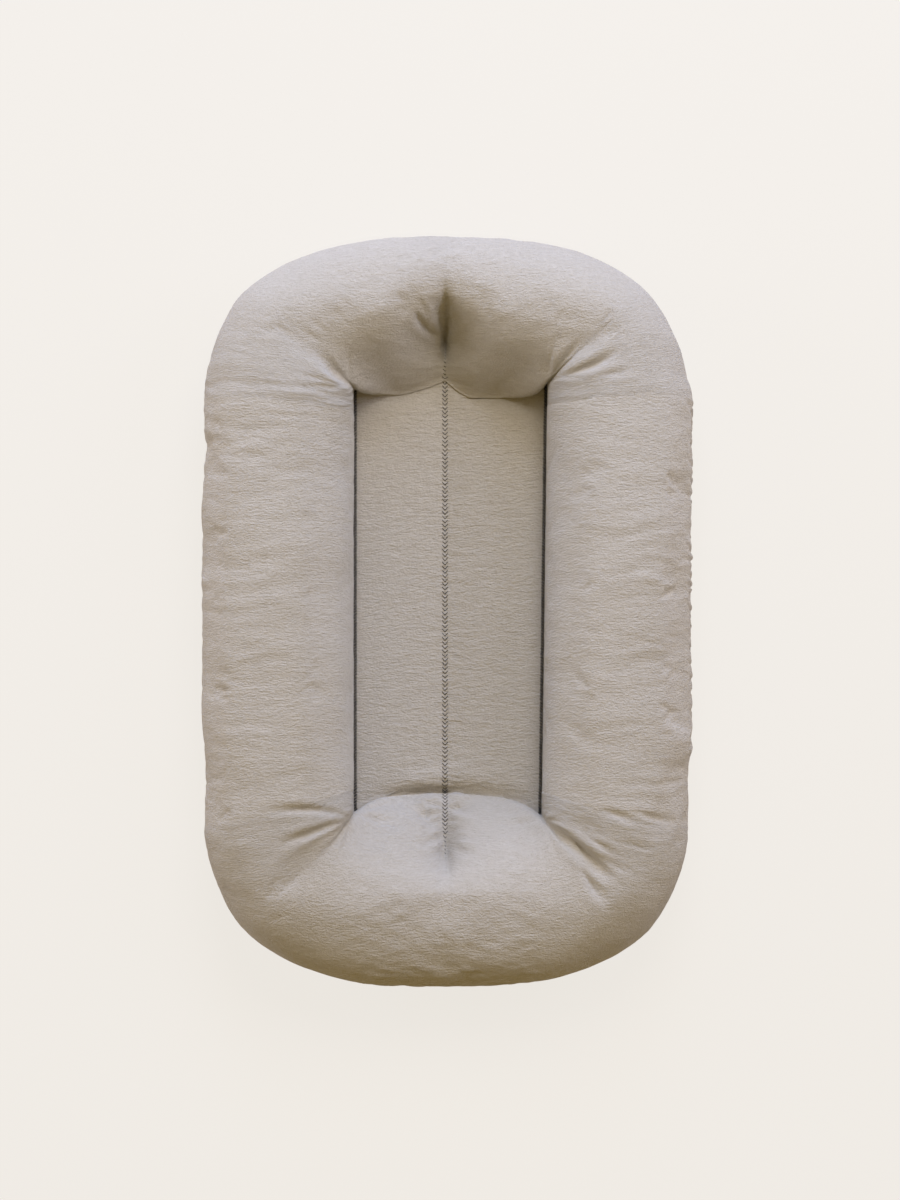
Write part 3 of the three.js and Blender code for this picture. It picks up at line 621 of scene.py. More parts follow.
# Start, heading in degrees, length, sideways bow, width, depth, and the share of the way where it is deepest
CREASES = [
    # From the head end of the left seam
    Crease(HEAD_LEFT, 136, 0.052, 0.002, 0.0050, 0.0036, 0.35),
    Crease(from_point(HEAD_LEFT, -0.028, 0.040), 150, 0.030, 0.0, 0.0030, 0.0010, 0.4),
    Crease(from_point(HEAD_LEFT, -0.022, 0.050), 146, 0.026, 0.0, 0.0026, 0.0009, 0.4),
    Crease(HEAD_LEFT, 178, 0.100, 0.004, 0.0030, 0.0013, 0.35),
    Crease(HEAD_LEFT, 168, 0.060, 0.002, 0.0026, 0.0012, 0.4),
    # From the head end of the right seam
    Crease(HEAD_RIGHT, 22.5, 0.080, -0.005, 0.0040, 0.0052, 0.55),
    Crease(HEAD_RIGHT, 50, 0.050, 0.0, 0.0036, 0.0032, 0.6),
    Crease(from_point(HEAD_RIGHT, 0.042, 0.002), 9, 0.050, -0.002, 0.0032, 0.0013, 0.4),
    Crease(HEAD_RIGHT, 100, 0.030, 0.0, 0.0040, 0.0020, 0.3),
    # Round the head tuft
    Crease(HEAD_TUFT, 129, 0.047, 0.0105, 0.0042, 0.0036, 0.45),
    Crease(from_point(HEAD_TUFT, -0.013, 0.011), 120, 0.034, 0.0, 0.0028, 0.0020, 0.4),
    Crease(HEAD_TUFT, 90, 0.046, 0.0, 0.0085, 0.0034, 0.25),
    Crease(HEAD_TUFT, 60, 0.034, -0.004, 0.0040, 0.0018, 0.35),
    Crease(HEAD_TUFT, 155, 0.030, 0.004, 0.0034, 0.0018, 0.4),
    # From the foot end of the left seam
    Crease(FOOT_LEFT, 178, 0.096, -0.006, 0.0036, 0.0032, 0.45),
    Crease(FOOT_LEFT, 200, 0.082, 0.001, 0.0036, 0.0044, 0.5),
    Crease(FOOT_LEFT, 214, 0.060, 0.001, 0.0030, 0.0016, 0.45),
    Crease(FOOT_LEFT, 235, 0.048, 0.0, 0.0030, 0.0022, 0.45),
    Crease(FOOT_LEFT, 256, 0.042, 0.0, 0.0026, 0.0018, 0.45),
    Crease(FOOT_LEFT, -17, 0.056, 0.003, 0.0034, 0.0030, 0.5),
    Crease(FOOT_LEFT, 8, 0.050, 0.004, 0.0030, 0.0022, 0.5),
    # From the foot end of the right seam
    Crease(FOOT_RIGHT, 195, 0.040, -0.002, 0.0030, 0.0016, 0.5),
    Crease(FOOT_RIGHT, -41, 0.092, 0.001, 0.0050, 0.0068, 0.55),
    Crease(from_point(FOOT_RIGHT, 0.033, -0.043), -55, 0.058, 0.0, 0.0042, 0.0034, 0.45),
    Crease(from_point(FOOT_RIGHT, 0.040, -0.015), -31, 0.041, 0.0, 0.0030, 0.0018, 0.45),
    Crease(from_point(FOOT_RIGHT, 0.052, 0.012), -20, 0.047, 0.001, 0.0036, 0.0022, 0.5),
    Crease(from_point(FOOT_RIGHT, 0.080, 0.011), -15, 0.044, 0.0, 0.0030, 0.0014, 0.5),
    Crease(FOOT_RIGHT, 250, 0.040, 0.0, 0.0036, 0.0014, 0.5),
    # Round the foot tuft
    Crease(from_point(FOOT_TUFT, -0.036, 0.052), -34, 0.034, 0.0, 0.0060, 0.0056, 0.6),
    Crease(from_point(FOOT_TUFT, 0.003, -0.004), -78, 0.018, 0.0, 0.0034, 0.0018, 0.4),
    Crease(FOOT_TUFT, 226, 0.024, 0.0, 0.0030, 0.0014, 0.35),
    Crease(from_point(FOOT_TUFT, 0.002, 0.048), 4, 0.030, 0.0, 0.0046, 0.0046, 0.3),
    Crease(from_point(FOOT_TUFT, 0.003, 0.016), 8, 0.036, 0.0, 0.0034, 0.0032, 0.25),
    Crease(from_point(FOOT_TUFT, 0.003, 0.009), -6, 0.030, 0.0, 0.0030, 0.0022, 0.25),
]

# Across the floor: the fold where it meets the foot slope, which both panels share, and a wrinkle at the head
FLOOR_FOLD = Crease((-0.070, -0.1850), -1.0, 0.120, 0.0030, 0.0086, 0.0067, 0.5)
HEAD_WRINKLE = Crease((0.006, 0.2118), 3, 0.056, 0.001, 0.0016, 0.0012, 0.4)
FOLD_UNDER_SHARE = 1.15
LEAST_HEIGHT = 0.001

CREASE_SPREAD_SHARE = 0.8
CREASE_START_SHARE = 0.55
RIDGE_SHARE = 0.35
RIDGE_PLACE_SHARE = 2.1
RIDGE_WIDTH_SHARE = 1.5


def crease_rise(plan, crease):
    """A valley with a low ridge along each side, strongest at its peak and gone at its ends."""
    heading = math.radians(crease.heading)
    gap = plan[..., :2] - np.array(crease.start)
    share = (gap[..., 0] * math.cos(heading) + gap[..., 1] * math.sin(heading)) / crease.length
    beside = gap[..., 1] * math.cos(heading) - gap[..., 0] * math.sin(heading)
    beside = beside - 4 * crease.bow * share * (1 - share)
    strength = ease(share, 0, crease.peak) * ease(1 - share, 0, 1 - crease.peak)
    strength = np.where((share > 0) & (share < 1), strength, 0)
    width = crease.width * (CREASE_START_SHARE + CREASE_SPREAD_SHARE * np.clip(share, 0, 1))
    place = np.abs(beside) / width
    ridge = bell(place - RIDGE_PLACE_SHARE, RIDGE_WIDTH_SHARE)
    return crease.depth * strength * (RIDGE_SHARE * ridge - bell(place))


# Gathers are fine creases in rows. Pairs of values are the ends of a random range.
Gather = namedtuple("Gather", "turn length width depth peak")
TUFT_GATHER = Gather((-16, 10), (0.014, 0.038), 0.0028, (0.0018, 0.0042), 0.3)
TUFT_GATHER_SPAN = (0.188, 0.243)
TUFT_GATHER_PITCH = 0.0065
TUFT_GATHER_DRIFT = (-0.0015, 0.0015)
TUFT_GATHER_GAP = 0.002
TUFT_GATHER_SEED = 11
FAN_GATHER = Gather((-4, 4), (0.022, 0.050), 0.0022, (0.0006, 0.0012), 0.4)
FANS = ((HEAD_LEFT, 95, 190), (HEAD_RIGHT, -5, 85), (FOOT_LEFT, 170, 275), (FOOT_RIGHT, -90, 12))
FAN_COUNT = 9
FAN_SEED = 5


def tuft_gathers():
    """Short gathers that the centre row draws beside its climb up the foot slope."""
    rng = np.random.default_rng(TUFT_GATHER_SEED)
    kind = TUFT_GATHER
    gathers = []
    for along in np.arange(*TUFT_GATHER_SPAN, TUFT_GATHER_PITCH):
        for side in (LEFT, RIGHT):
            heading = (0 if side == RIGHT else 180) + side * rng.uniform(*kind.turn)
            start = (CENTRE_SHIFT + side * TUFT_GATHER_GAP, -along + rng.uniform(*TUFT_GATHER_DRIFT))
            length = rng.uniform(*kind.length)
            gathers.append(Crease(start, heading, length, 0.0, kind.width, rng.uniform(*kind.depth), kind.peak))
    return gathers


def seam_end_gathers():
    """Fine creases that fan out between the main ones at the ends of the side seams."""
    rng = np.random.default_rng(FAN_SEED)
    kind = FAN_GATHER
    gathers = []
    for start, low, high in FANS:
        for heading in np.linspace(low, high, FAN_COUNT):
            length = rng.uniform(*kind.length)
            turned = heading + rng.uniform(*kind.turn)
            gathers.append(Crease(start, turned, length, 0.0, kind.width, rng.uniform(*kind.depth), kind.peak))
    return gathers


ZIP_GATHER_SEED = 3
ZIP_GATHER_START = 0.012
ZIP_GATHER_STRENGTH = (0.3, 1.0)
ZIP_GATHER_STRENGTH_POWER = 1.5
ZIP_GATHER_SLANT = (0.1, 0.5)
ZIP_GATHER_LENGTH = (0.020, 0.065)
ZIP_GATHER_PITCH = (0.006, 0.015)
ZIP_GATHER_DEPTH = 0.0034
ZIP_GATHER_WIDTH = 0.0022
ZIP_GATHER_SEAM = (-0.001, 0.006)
ZIP_GATHER_FROM = 0.15
ZIP_RIDGE_SHARE = 0.4
ZIP_RIDGE_PLACE = 0.0045
ZIP_RIDGE_WIDTH = 0.003


def zip_gathers():
    """Creases that rise from the zipped part of the perimeter seam over the rim's side."""
    rng = np.random.default_rng(ZIP_GATHER_SEED)
    gathers = []
    along = ZIP_FOOT + ZIP_GATHER_START
    while along < ZIP_HEAD:
        depth = ZIP_GATHER_DEPTH * rng.uniform(*ZIP_GATHER_STRENGTH) ** ZIP_GATHER_STRENGTH_POWER
        gathers.append((along, rng.uniform(*ZIP_GATHER_SLANT), rng.uniform(*ZIP_GATHER_LENGTH), depth))
        along += rng.uniform(*ZIP_GATHER_PITCH)
    return gathers


def zip_gather_rise(flat, run):
    rise = np.zeros(run.shape)
    for along, slant, length, depth in zip_gathers():
        beside = flat[..., 1] - along - slant * run
        strength = fade_out(run, 0, length) * ease(run, *ZIP_GATHER_SEAM)
        ridge = bell(beside - ZIP_RIDGE_PLACE, ZIP_RIDGE_WIDTH)
        rise -= depth * strength * (bell(beside, ZIP_GATHER_WIDTH) - ZIP_RIDGE_SHARE * ridge)
    return rise


# The stuffing's swell, the puckers across the flanks, and the fine crinkles of the gauze
Swell = namedtuple("Swell", "height across along seed")
SWELLS = (Swell(0.0021, 0.11, 0.09, 21), Swell(0.0011, 0.055, 0.042, 22))
SWELL_FROM = (0.04, 0.09)
Streak = namedtuple("Streak", "share length width seed")
PUCKERS = (Streak(1.0, 0.065, 0.0135, 23), Streak(0.5, 0.040, 0.0075, 24))
PUCKER_HEIGHT = 0.0010
PUCKER_PATCHES = Swell(0.6, 0.1, 0.07, 25)
PUCKER_LEAST, PUCKER_MEAN, PUCKER_HEAD_LEFT = 0.2, 0.4, 0.5
PUCKER_ACROSS = (0.10, 0.20)
PUCKER_ALONG = (0.18, 0.27)
PUCKER_HEAD_PLACE, PUCKER_HEAD_WIDTH = 0.205, 0.07
CRINKLES = (Streak(1.0, 0.022, 0.0042, 31), Streak(0.6, 0.035, 0.0068, 32))
CRINKLE_HEIGHT = 0.00018
FLOOR_CRINKLE = 0.3
CENTRE_CRINKLE = 1.2
CENTRE_CRINKLE_WIDTH = 0.045
CENTRE_CRINKLE_SHARES = (0.7, 0.6)
CENTRE_CRINKLE_SPAN = (-0.05, 0.18)
Slope = namedtuple("Slope", "start full half_width crinkle")
SLOPES = {FOOT: Slope(0.17, 0.20, 0.105, 3.6), HEAD: Slope(0.205, 0.225, 0.110, 1.4)}
SLOPE_SIDE_EASE = 0.03


def swell(flat, kind):
    return kind.height * noise(flat[..., 0] / kind.across, flat[..., 1] / kind.along, kind.seed)


def streaked(flat, kinds):
    across, along = flat[..., 0], flat[..., 1]
    return sum(kind.share * streaks(across, along, kind.length, kind.width, kind.seed) for kind in kinds)


def pucker_strength(plan, flat):
    """Most puckers lie on the outer half of the flanks, and towards the head on the left."""
    outer = ease(np.abs(plan[..., 0]), *PUCKER_ACROSS) * fade_out(np.abs(flat[..., 1]), *PUCKER_ALONG)
    head_left = bell(flat[..., 1] - PUCKER_HEAD_PLACE, PUCKER_HEAD_WIDTH) * (plan[..., 0] < 0)
    patches = PUCKER_MEAN + swell(flat, PUCKER_PATCHES)
    return PUCKER_LEAST + outer * patches + PUCKER_HEAD_LEFT * head_left


def crinkle_strength(plan, rim):
    """Crinkles lie all over, and are stronger beside the centre seam and on the slopes at both ends."""
    least, more = CENTRE_CRINKLE_SHARES
    centre = least + more * ease(-plan[..., 1], *CENTRE_CRINKLE_SPAN)
    centre = bell(plan[..., 0], CENTRE_CRINKLE_WIDTH) * centre
    strength = 1 + (1 - rim) * (CENTRE_CRINKLE * centre + FLOOR_CRINKLE)
    for end, slope in SLOPES.items():
        across = ease(slope.half_width - np.abs(plan[..., 0]), 0, SLOPE_SIDE_EASE)
        strength = strength + slope.crinkle * ease(end * plan[..., 1], slope.start, slope.full) * across * rim
    return strength


def soft_rise(plan, flat, run, rim):
    """Everything that lifts the upper panel off its smooth form."""
    rise = sum(swell(flat, kind) for kind in SWELLS) * rim * ease(plan[..., 2], *SWELL_FROM)
    for crease in CREASES + tuft_gathers() + seam_end_gathers():
        rise += crease_rise(plan, crease)
    rise += (crease_rise(plan, FLOOR_FOLD) + crease_rise(plan, HEAD_WRINKLE)) * (1 - rim)
    rise += PUCKER_HEIGHT * streaked(flat, PUCKERS) * pucker_strength(plan, flat) * rim
    rise += CRINKLE_HEIGHT * streaked(flat, CRINKLES) * crinkle_strength(plan, rim)
    return rise + zip_gather_rise(flat, run) * (plan[..., 0] > ZIP_GATHER_FROM)


# The slack in the cloth of the rim: it is blown up a little between its seams, and gathers into wrinkles there
SLACK_FRAMES = 20
SLACK_SHARE = 0.02
SLACK_MOVE = 0.006
SLACK_PRESSURE = 4.0
CLOTH_QUALITY = 6
CLOTH_MASS = 0.2
CLOTH_BENDING = 0.3
SEWN_REACH = 0.013
SEWN_START = (0.17, 0.18)
SEWN_END = (0.28, 0.30)
CORNER_REACH = 0.035
WALL_CALM = 0.7

# Places on the way over the rim, as rim_places counts them: where the moves start, and where they get less
MOVES_START = (0.6, 1.6)
WALL_TOP = (1.6, 2.0)
OUTER_SIDE = (2.3, 3.0)
OUTER_MOVE_SHARE = 0.45


def ring_places(steps):
    """Where each slice lies on the way round the bed, in flanks and quarter ends."""
    counts = (steps.flank, steps.cap, steps.cap, steps.flank, steps.cap, steps.cap)
    return np.concatenate([k + np.arange(count) / count for k, count in enumerate(counts)])


def rim_places(steps):
    """Where each row lies on the way from the well seam over the rim to the perimeter seam."""
    counts = (steps.tuck, steps.inner, steps.outer, steps.side)
    return np.concatenate([[0]] + [k + np.arange(1, count + 1) / count for k, count in enumerate(counts)])


def resample(values, places, axis, cyclic):
    """Values at places between the entries along one axis, on a smooth curve through them."""
    values = np.moveaxis(values, axis, 0)
    before = np.floor(places).astype(int)
    share = (places - before).reshape((-1,) + (1,) * (values.ndim - 1))
    result = 0
    for shift in (-1, 0, 1, 2):
        at = before + shift
        at = at % len(values) if cyclic else at.clip(0, len(values) - 1)
        gap = np.abs(share - shift)
        near = 1.5 * gap ** 3 - 2.5 * gap ** 2 + 1
        wide = -0.5 * gap ** 3 + 2.5 * gap ** 2 - 4 * gap + 2
        result = result + values[at] * np.where(gap < 1, near, wide)
    return np.moveaxis(result, 0, axis)


def link(name, data):
    piece = bpy.data.objects.new(name, data)
    bpy.context.scene.collection.objects.link(piece)
    return piece


def ring_faces(index, around=1, across=0):
    """The corners of each cell of a grid of point numbers, which may close on itself either way."""
    index = np.pad(index, ((0, around), (0, across)), "wrap")
    corners = [index[:-1, :-1], index[1:, :-1], index[1:, 1:], index[:-1, 1:]]
    return np.stack(corners, 2).reshape(-1, 4)


def numbered(shape, first=0):
    """Point numbers for a grid of points."""
    return first + np.arange(shape[0] * shape[1]).reshape(shape[:2])


def blow_up(grid, held, facing):
    """A short cloth simulation of a ring of cloth whose held points stay where they are."""
    faces = ring_faces(numbered(grid.shape))
    faces = faces if facing > 0 else faces[:, ::-1]
    mesh = bpy.data.meshes.new("slack_cloth")
    mesh.from_pydata(grid.reshape(-1, 3).tolist(), [], faces.tolist())
    piece = link("slack_cloth", mesh)
    group = piece.vertex_groups.new(name="held")
    group.add(np.flatnonzero(held).tolist(), 1.0, "REPLACE")
    modifier = piece.modifiers.new("slack", "CLOTH")
    modifier.point_cache.frame_start = 1
    modifier.point_cache.frame_end = SLACK_FRAMES
    cloth = modifier.settings
    cloth.quality = CLOTH_QUALITY
    cloth.mass = CLOTH_MASS
    cloth.bending_stiffness = CLOTH_BENDING
    cloth.vertex_group_mass = "held"
    cloth.shrink_min = -SLACK_SHARE
    cloth.use_pressure = True
    cloth.uniform_pressure_force = SLACK_PRESSURE
    cloth.effector_weights.gravity = 0
    scene = bpy.context.scene
    for frame in range(1, SLACK_FRAMES + 1):
        scene.frame_set(frame)
    settled = piece.evaluated_get(bpy.context.evaluated_depsgraph_get()).to_mesh()
    points = np.empty(grid.size)
    settled.vertices.foreach_get("co", points)
    scene.frame_set(1)
    bpy.data.objects.remove(piece)
    return points.reshape(grid.shape)


def sewn_share(plan):
    """1 on the centre seam's climb and at the ends of the side seams, and less beside them."""
    beside, along = np.abs(plan[..., 0] - CENTRE_SHIFT), np.abs(plan[..., 1])
    sewn = bell(beside, SEWN_REACH) * ease(along, *SEWN_START) * fade_out(along, *SEWN_END)
    for corner in (HEAD_LEFT, HEAD_RIGHT, FOOT_LEFT, FOOT_RIGHT):
        gap = np.linalg.norm(plan[..., :2] - np.array(corner), axis=2)
        sewn = np.maximum(sewn, bell(gap, CORNER_REACH))
    return sewn


def slack_moves(steps):
    """How far the simulation moves each point of the rim's upper cloth, for a grid of so many steps."""
    ring = ring_of_slices(COARSE)
    top, top_rows = top_cloth(ring, COARSE)
    base, base_rows = base_cloth(ring, COARSE)
    pull_valleys(top, base, COARSE, top_rows[1], base_rows[3])
    rim = top[:, top_rows[1]:top_rows[6]]
    held = np.zeros(rim.shape[:2], bool)
    held[:, [0, -1]] = True
    for end, valley in VALLEYS.items():
        middle = middle_slice(end, COARSE)
        held[middle] |= end * rim[middle, :, 1] < valley.tuft
    moves = blow_up(rim, held, facing_up(grid_normals(rim))) - rim
    places = rim_places(COARSE)
    length = np.linalg.norm(moves, axis=2, keepdims=True)
    reach = ease(places, *MOVES_START) * lerp(1, OUTER_MOVE_SHARE, ease(places, *OUTER_SIDE))
    moves = moves / np.maximum(1, length / SLACK_MOVE) * reach[None, :, None]
    wall = column(ring, "slope") * fade_out(places, *WALL_TOP)[None, :]
    moves = moves * ((1 - sewn_share(rim)) * (1 - WALL_CALM * wall))[:, :, None]
    rows = np.interp(rim_places(steps), places, np.arange(len(rim[0])))
    ring_end = ring_places(COARSE)[-1].round()
    slices = np.interp(ring_places(steps), np.append(ring_places(COARSE), ring_end), np.arange(len(rim) + 1))
    return resample(resample(moves, slices, 0, True), rows, 1, False)


# Laying the cloth
Layout = namedtuple("Layout", "ring well_row seam_row base_start base_well_row")
RISE_ROWS = (-1, 8)
SEAM_ROWS = 2
UNDER_FLAT_SHIFT = (1.0, 0.0)
GROOVE_DEPTH = 0.0007
GROOVE_WIDTH = 0.0020
GROOVE_END = 0.003
CENTRE_GROOVE_SHARE = 0.6


def settle(steps):
    """The whole shell as one closed grid, from the centre seam on top to the one below."""
    ring = ring_of_slices(steps)
    top, top_rows = top_cloth(ring, steps)
    base, base_rows = base_cloth(ring, steps)
    well_row, base_well = top_rows[1], base_rows[3]
    seam_row = top_rows[5] + steps.side - 1
    flat = flat_plan(ring, top, well_row, 1)
    run = lengths_from(top, seam_row) * -1

    pull_valleys(top, base, steps, well_row, base_well)
    fold = np.minimum(crease_rise(base, FLOOR_FOLD), 0) * FOLD_UNDER_SHARE
    base[..., 2] = np.maximum(base[..., 2] + fold, np.minimum(base[..., 2], LEAST_HEIGHT))
    top[:, well_row:top_rows[6]] += slack_moves(steps)
    normal = grid_normals(top)
    rows = np.arange(top.shape[1])
    rim = np.broadcast_to(ease(rows, well_row + RISE_ROWS[0], well_row + RISE_ROWS[1]), top.shape[:2])
    rise = soft_rise(top, flat, run, rim) * fade_out(rows, seam_row - SEAM_ROWS, seam_row)
    rise -= stitch_grooves(top, ring, well_row)
    top = top + normal * facing_up(normal) * rise[:, :, None]

    shell = np.concatenate([top, base], 1)
    mirror = mirror_slice(steps)
    for row in (0, -1):
        shell[:, row] = (shell[:, row] + shell[mirror, row]) / 2
    base_flat = flat_plan(ring, base, base_well, -1) + np.array(UNDER_FLAT_SHIFT)
    layout = Layout(ring, well_row, seam_row, top.shape[1], top.shape[1] + base_well)
    return shell, np.concatenate([flat, base_flat], 1), layout


def stitch_grooves(points, ring, well_row):
    """The furrows that the rows of stitches pull into the upper panel."""
    side = bell(lengths_from(points, well_row), GROOVE_WIDTH) * column(ring, "stitched")
    tuft = np.where(points[..., 1] > 0, VALLEYS[HEAD].tuft, VALLEYS[FOOT].tuft)
    past = np.maximum(np.abs(points[..., 1]) - tuft, 0)
    centre = bell(points[..., 0] - CENTRE_SHIFT, GROOVE_WIDTH) * bell(past, GROOVE_END)
    return GROOVE_DEPTH * (side + CENTRE_GROOVE_SHARE * centre)


def grid_mesh(name, shell, flat, mirror):
    """A closed mesh from the shell's grid, whose two halves meet along the centre seam."""
    index = numbered(shell.shape)
    for row in (0, -1):
        index[:, row] = np.minimum(index[:, row], index[mirror, row])
    used, compact = np.unique(ring_faces(index), return_inverse=True)
    points = shell.reshape(-1, 3)[used]
    mesh = bpy.data.meshes.new(name)
    mesh.from_pydata(points.tolist(), [], [[*dict.fromkeys(face)] for face in compact.reshape(-1, 4).tolist()])
    layer = mesh.uv_layers.new(name="cloth")
    corners = np.zeros(len(mesh.loops), np.int32)
    mesh.loops.foreach_get("vertex_index", corners)
    layer.data.foreach_set("uv", flat.reshape(-1, 2)[used][corners].astype(np.float32).ravel())
    mesh.shade_smooth()
    return mesh


def outward(mesh):
    """Turns every face outwards on a closed mesh."""
    editing = bmesh.new()
    editing.from_mesh(mesh)
    bmesh.ops.recalc_face_normals(editing, faces=editing.faces)
    if editing.calc_volume(signed=True) < 0:
        bmesh.ops.reverse_faces(editing, faces=editing.faces)
    editing.to_mesh(mesh)
    editing.free()


# Materials
# The places of a colour mix's share and two colours among its inputs, and of the mixed colour among its outputs
MIX_INPUTS, MIX_OUTPUT = (0, 6, 7), 2


class Nodes:
    """Short names for making and joining the nodes of one tree."""

    def __init__(self, tree):
        self.tree = tree

    def join(self, source, target):
        if isinstance(source, (int, float)):
            target.default_value = source
        elif isinstance(source, tuple):
            target.default_value = source if len(source) == len(target.default_value) else (*source, 1)
        else:
            self.tree.links.new(source, target)

    def fill(self, node, **sockets):
        for key, value in sockets.items():
            self.join(value, node.inputs[key.replace("_", " ")])
        return node

    def add(self, kind, settings=None, **sockets):
        """A new node with its settings, whose sockets are set or joined by name."""
        node = self.tree.nodes.new(kind)
        for key, value in (settings or {}).items():
            setattr(node, key, value)
        return self.fill(node, **sockets)

    def place(self):
        return self.add("ShaderNodeTexCoord").outputs["Object"]

    def mapping(self, vector, **sockets):
        return self.add("ShaderNodeMapping", Vector=vector, **sockets).outputs["Vector"]

    def noise(self, vector, scale, detail, roughness=0.5):
        sockets = {"Vector": vector, "Scale": scale, "Detail": detail, "Roughness": roughness}
        return self.add("ShaderNodeTexNoise", **sockets).outputs["Fac"]

    def math(self, operation, first, second):
        node = self.add("ShaderNodeMath", {"operation": operation})
        self.join(first, node.inputs[0])
        self.join(second, node.inputs[1])
        return node.outputs[0]

    def times(self, first, second):
        return self.math("MULTIPLY", first, second)

    def plus(self, first, second):
        return self.math("ADD", first, second)

    def mix(self, share, first, second):
        node = self.add("ShaderNodeMix", {"data_type": "RGBA"})
        for place, value in zip(MIX_INPUTS, (share, first, second)):
            self.join(value, node.inputs[place])
        return node.outputs[MIX_OUTPUT]

    def range(self, value, low, high, to_low, to_high):
        sockets = {"Value": value, "From_Min": low, "From_Max": high, "To_Min": to_low, "To_Max": to_high}
        return self.add("ShaderNodeMapRange", **sockets).outputs[0]

    def bump(self, height, distance):
        return self.add("ShaderNodeBump", Height=height, Distance=distance).outputs["Normal"]

    def group(self, tree, **sockets):
        return self.add("ShaderNodeGroup", {"node_tree": tree}, **sockets).outputs


def new_tree(name, kind, given, result):
    """A node tree with named inputs and outputs."""
    tree = bpy.data.node_groups.new(name, kind)
    for direction, sockets in (("INPUT", given), ("OUTPUT", result)):
        for socket, holds in sockets.items():
            tree.interface.new_socket(socket, in_out=direction, socket_type=f"NodeSocket{holds}")
    nodes = Nodes(tree)
    return tree, nodes, nodes.add("NodeGroupInput").outputs, nodes.add("NodeGroupOutput").inputs


YARN_DRIFT_SCALE = 90.0
YARN_DRIFT = 3.0
SLUB_ALONG, SLUB_ACROSS = 0.06, 0.7
WARP_RELIEF, WEFT_RELIEF, WEFT_TONE = 0.12, 0.16, 0.05


def slubby_yarn():
    """Cloth whose weft yarns are thick and thin by turns: a height for the bump and a tone for the colour."""
    tree, nodes, given, result = new_tree(
        "slubby_yarn", "ShaderNodeTree",
        {"Vector": "Vector", "Warp": "Float", "Weft": "Float"},
        {"Height": "Float", "Tone": "Float"},
    )
    place = nodes.add("ShaderNodeSeparateXYZ", Vector=given["Vector"]).outputs
    drift = nodes.noise(given["Vector"], YARN_DRIFT_SCALE, 2.0)
    across = nodes.times(place["X"], given["Warp"])
    along = nodes.plus(nodes.times(place["Y"], given["Weft"]), nodes.times(drift, YARN_DRIFT))
    warp, weft = (nodes.math("SINE", nodes.times(count, 2 * math.pi), 0) for count in (across, along))
    slub_place = nodes.add(
        "ShaderNodeCombineXYZ", X=nodes.times(across, SLUB_ALONG), Y=nodes.times(along, SLUB_ACROSS)
    )
    slub = nodes.noise(slub_place.outputs[0], 1.0, 2.0, 0.6)
    weave = nodes.plus(nodes.times(warp, WARP_RELIEF), nodes.times(weft, WEFT_RELIEF))
    nodes.join(nodes.plus(weave, slub), result["Height"])
    nodes.join(nodes.plus(slub, nodes.times(weft, WEFT_TONE)), result["Tone"])
    return tree


def new_material(name, roughness, **sockets):
    material = bpy.data.materials.new(name)
    material.use_nodes = True
    nodes = Nodes(material.node_tree)
    shader = nodes.fill(material.node_tree.nodes["Principled BSDF"], Roughness=roughness, **sockets)
    return material, nodes, shader


COTTON_DARK, COTTON_LIGHT, COTTON_FADED = (0.45, 0.408, 0.345), (0.545, 0.505, 0.445), (0.47, 0.43, 0.37)
UNDYED_DARK, UNDYED_LIGHT = (0.66, 0.62, 0.53), (0.79, 0.76, 0.68)
TAPE_DARK, TAPE_LIGHT = (0.37, 0.34, 0.295), (0.46, 0.43, 0.38)
FIBRE_DARK, FIBRE_LIGHT = (0.80, 0.79, 0.77), (0.90, 0.89, 0.88)
# The thread's colours are near black: a charcoal thread, with painted shade of the seam's crevice added in
THREAD_AND_SHADE_DARK, THREAD_AND_SHADE_LIGHT, THREAD_LINT = (0.008, 0.008, 0.008), (0.020, 0.020, 0.019), (0.045, 0.045, 0.042)
NYLON_DARK, NYLON_LIGHT = (0.30, 0.275, 0.235), (0.36, 0.33, 0.29)
PAINT_DARK, PAINT_LIGHT = (0.27, 0.25, 0.215), (0.33, 0.31, 0.275)

COTTON_WARP, COTTON_WEFT = 900.0, 760.0
UNDYED_THREADS = 1100.0
TAPE_THREADS = 1500.0
CRINKLE_SCALE = (170, 440, 1)
PEBBLE_SCALE = (420, 620, 1)
HAIR_SCALE = (900, 900, 240)
WEAVE_TURN = (0, 0.9, 0.35)
COTTON_RELIEF = 0.0013
WEAVE_RELIEF = 0.0003
FIBRE_RELIEF = 0.003
THREAD_RELIEF = 0.0003
PAINT_RELIEF = 0.00004


def crinkled_cotton(yarn):
    material, nodes, shader = new_material("crinkled_cotton", 0.9, Sheen_Weight=0.35, Sheen_Roughness=0.45)
    flat = nodes.add("ShaderNodeUVMap", {"uv_map": "cloth"}).outputs["UV"]
    cloth = nodes.group(yarn, Vector=flat, Warp=COTTON_WARP, Weft=COTTON_WEFT)
    crinkle = nodes.noise(nodes.mapping(flat, Scale=CRINKLE_SCALE), 1.0, 3.0, 0.6)
    pebble = nodes.noise(nodes.mapping(flat, Scale=PEBBLE_SCALE), 1.0, 2.0, 0.7)
    cloud = nodes.noise(flat, 11.0, 3.0)
    height = nodes.plus(nodes.plus(nodes.times(cloth["Height"], 0.35), crinkle), nodes.times(pebble, 0.9))
    # The colour follows the crinkle noise that also shapes the bump, so the crinkle troughs are darker: painted
    # shade. The yarn's tone mixed in with it is the cloth's own.
    tone = nodes.plus(nodes.times(crinkle, 0.6), nodes.times(cloth["Tone"], 0.4))
    weave = nodes.mix(nodes.range(tone, 0.35, 0.65, 0, 1), COTTON_DARK, COTTON_LIGHT)
    nodes.fill(
        shader,
        Base_Color=nodes.mix(nodes.range(cloud, 0.35, 0.65, 0, 0.35), weave, COTTON_FADED),
        Roughness=nodes.range(crinkle, 0.3, 0.7, 0.95, 0.82),
        Normal=nodes.bump(height, COTTON_RELIEF),
    )
    return material


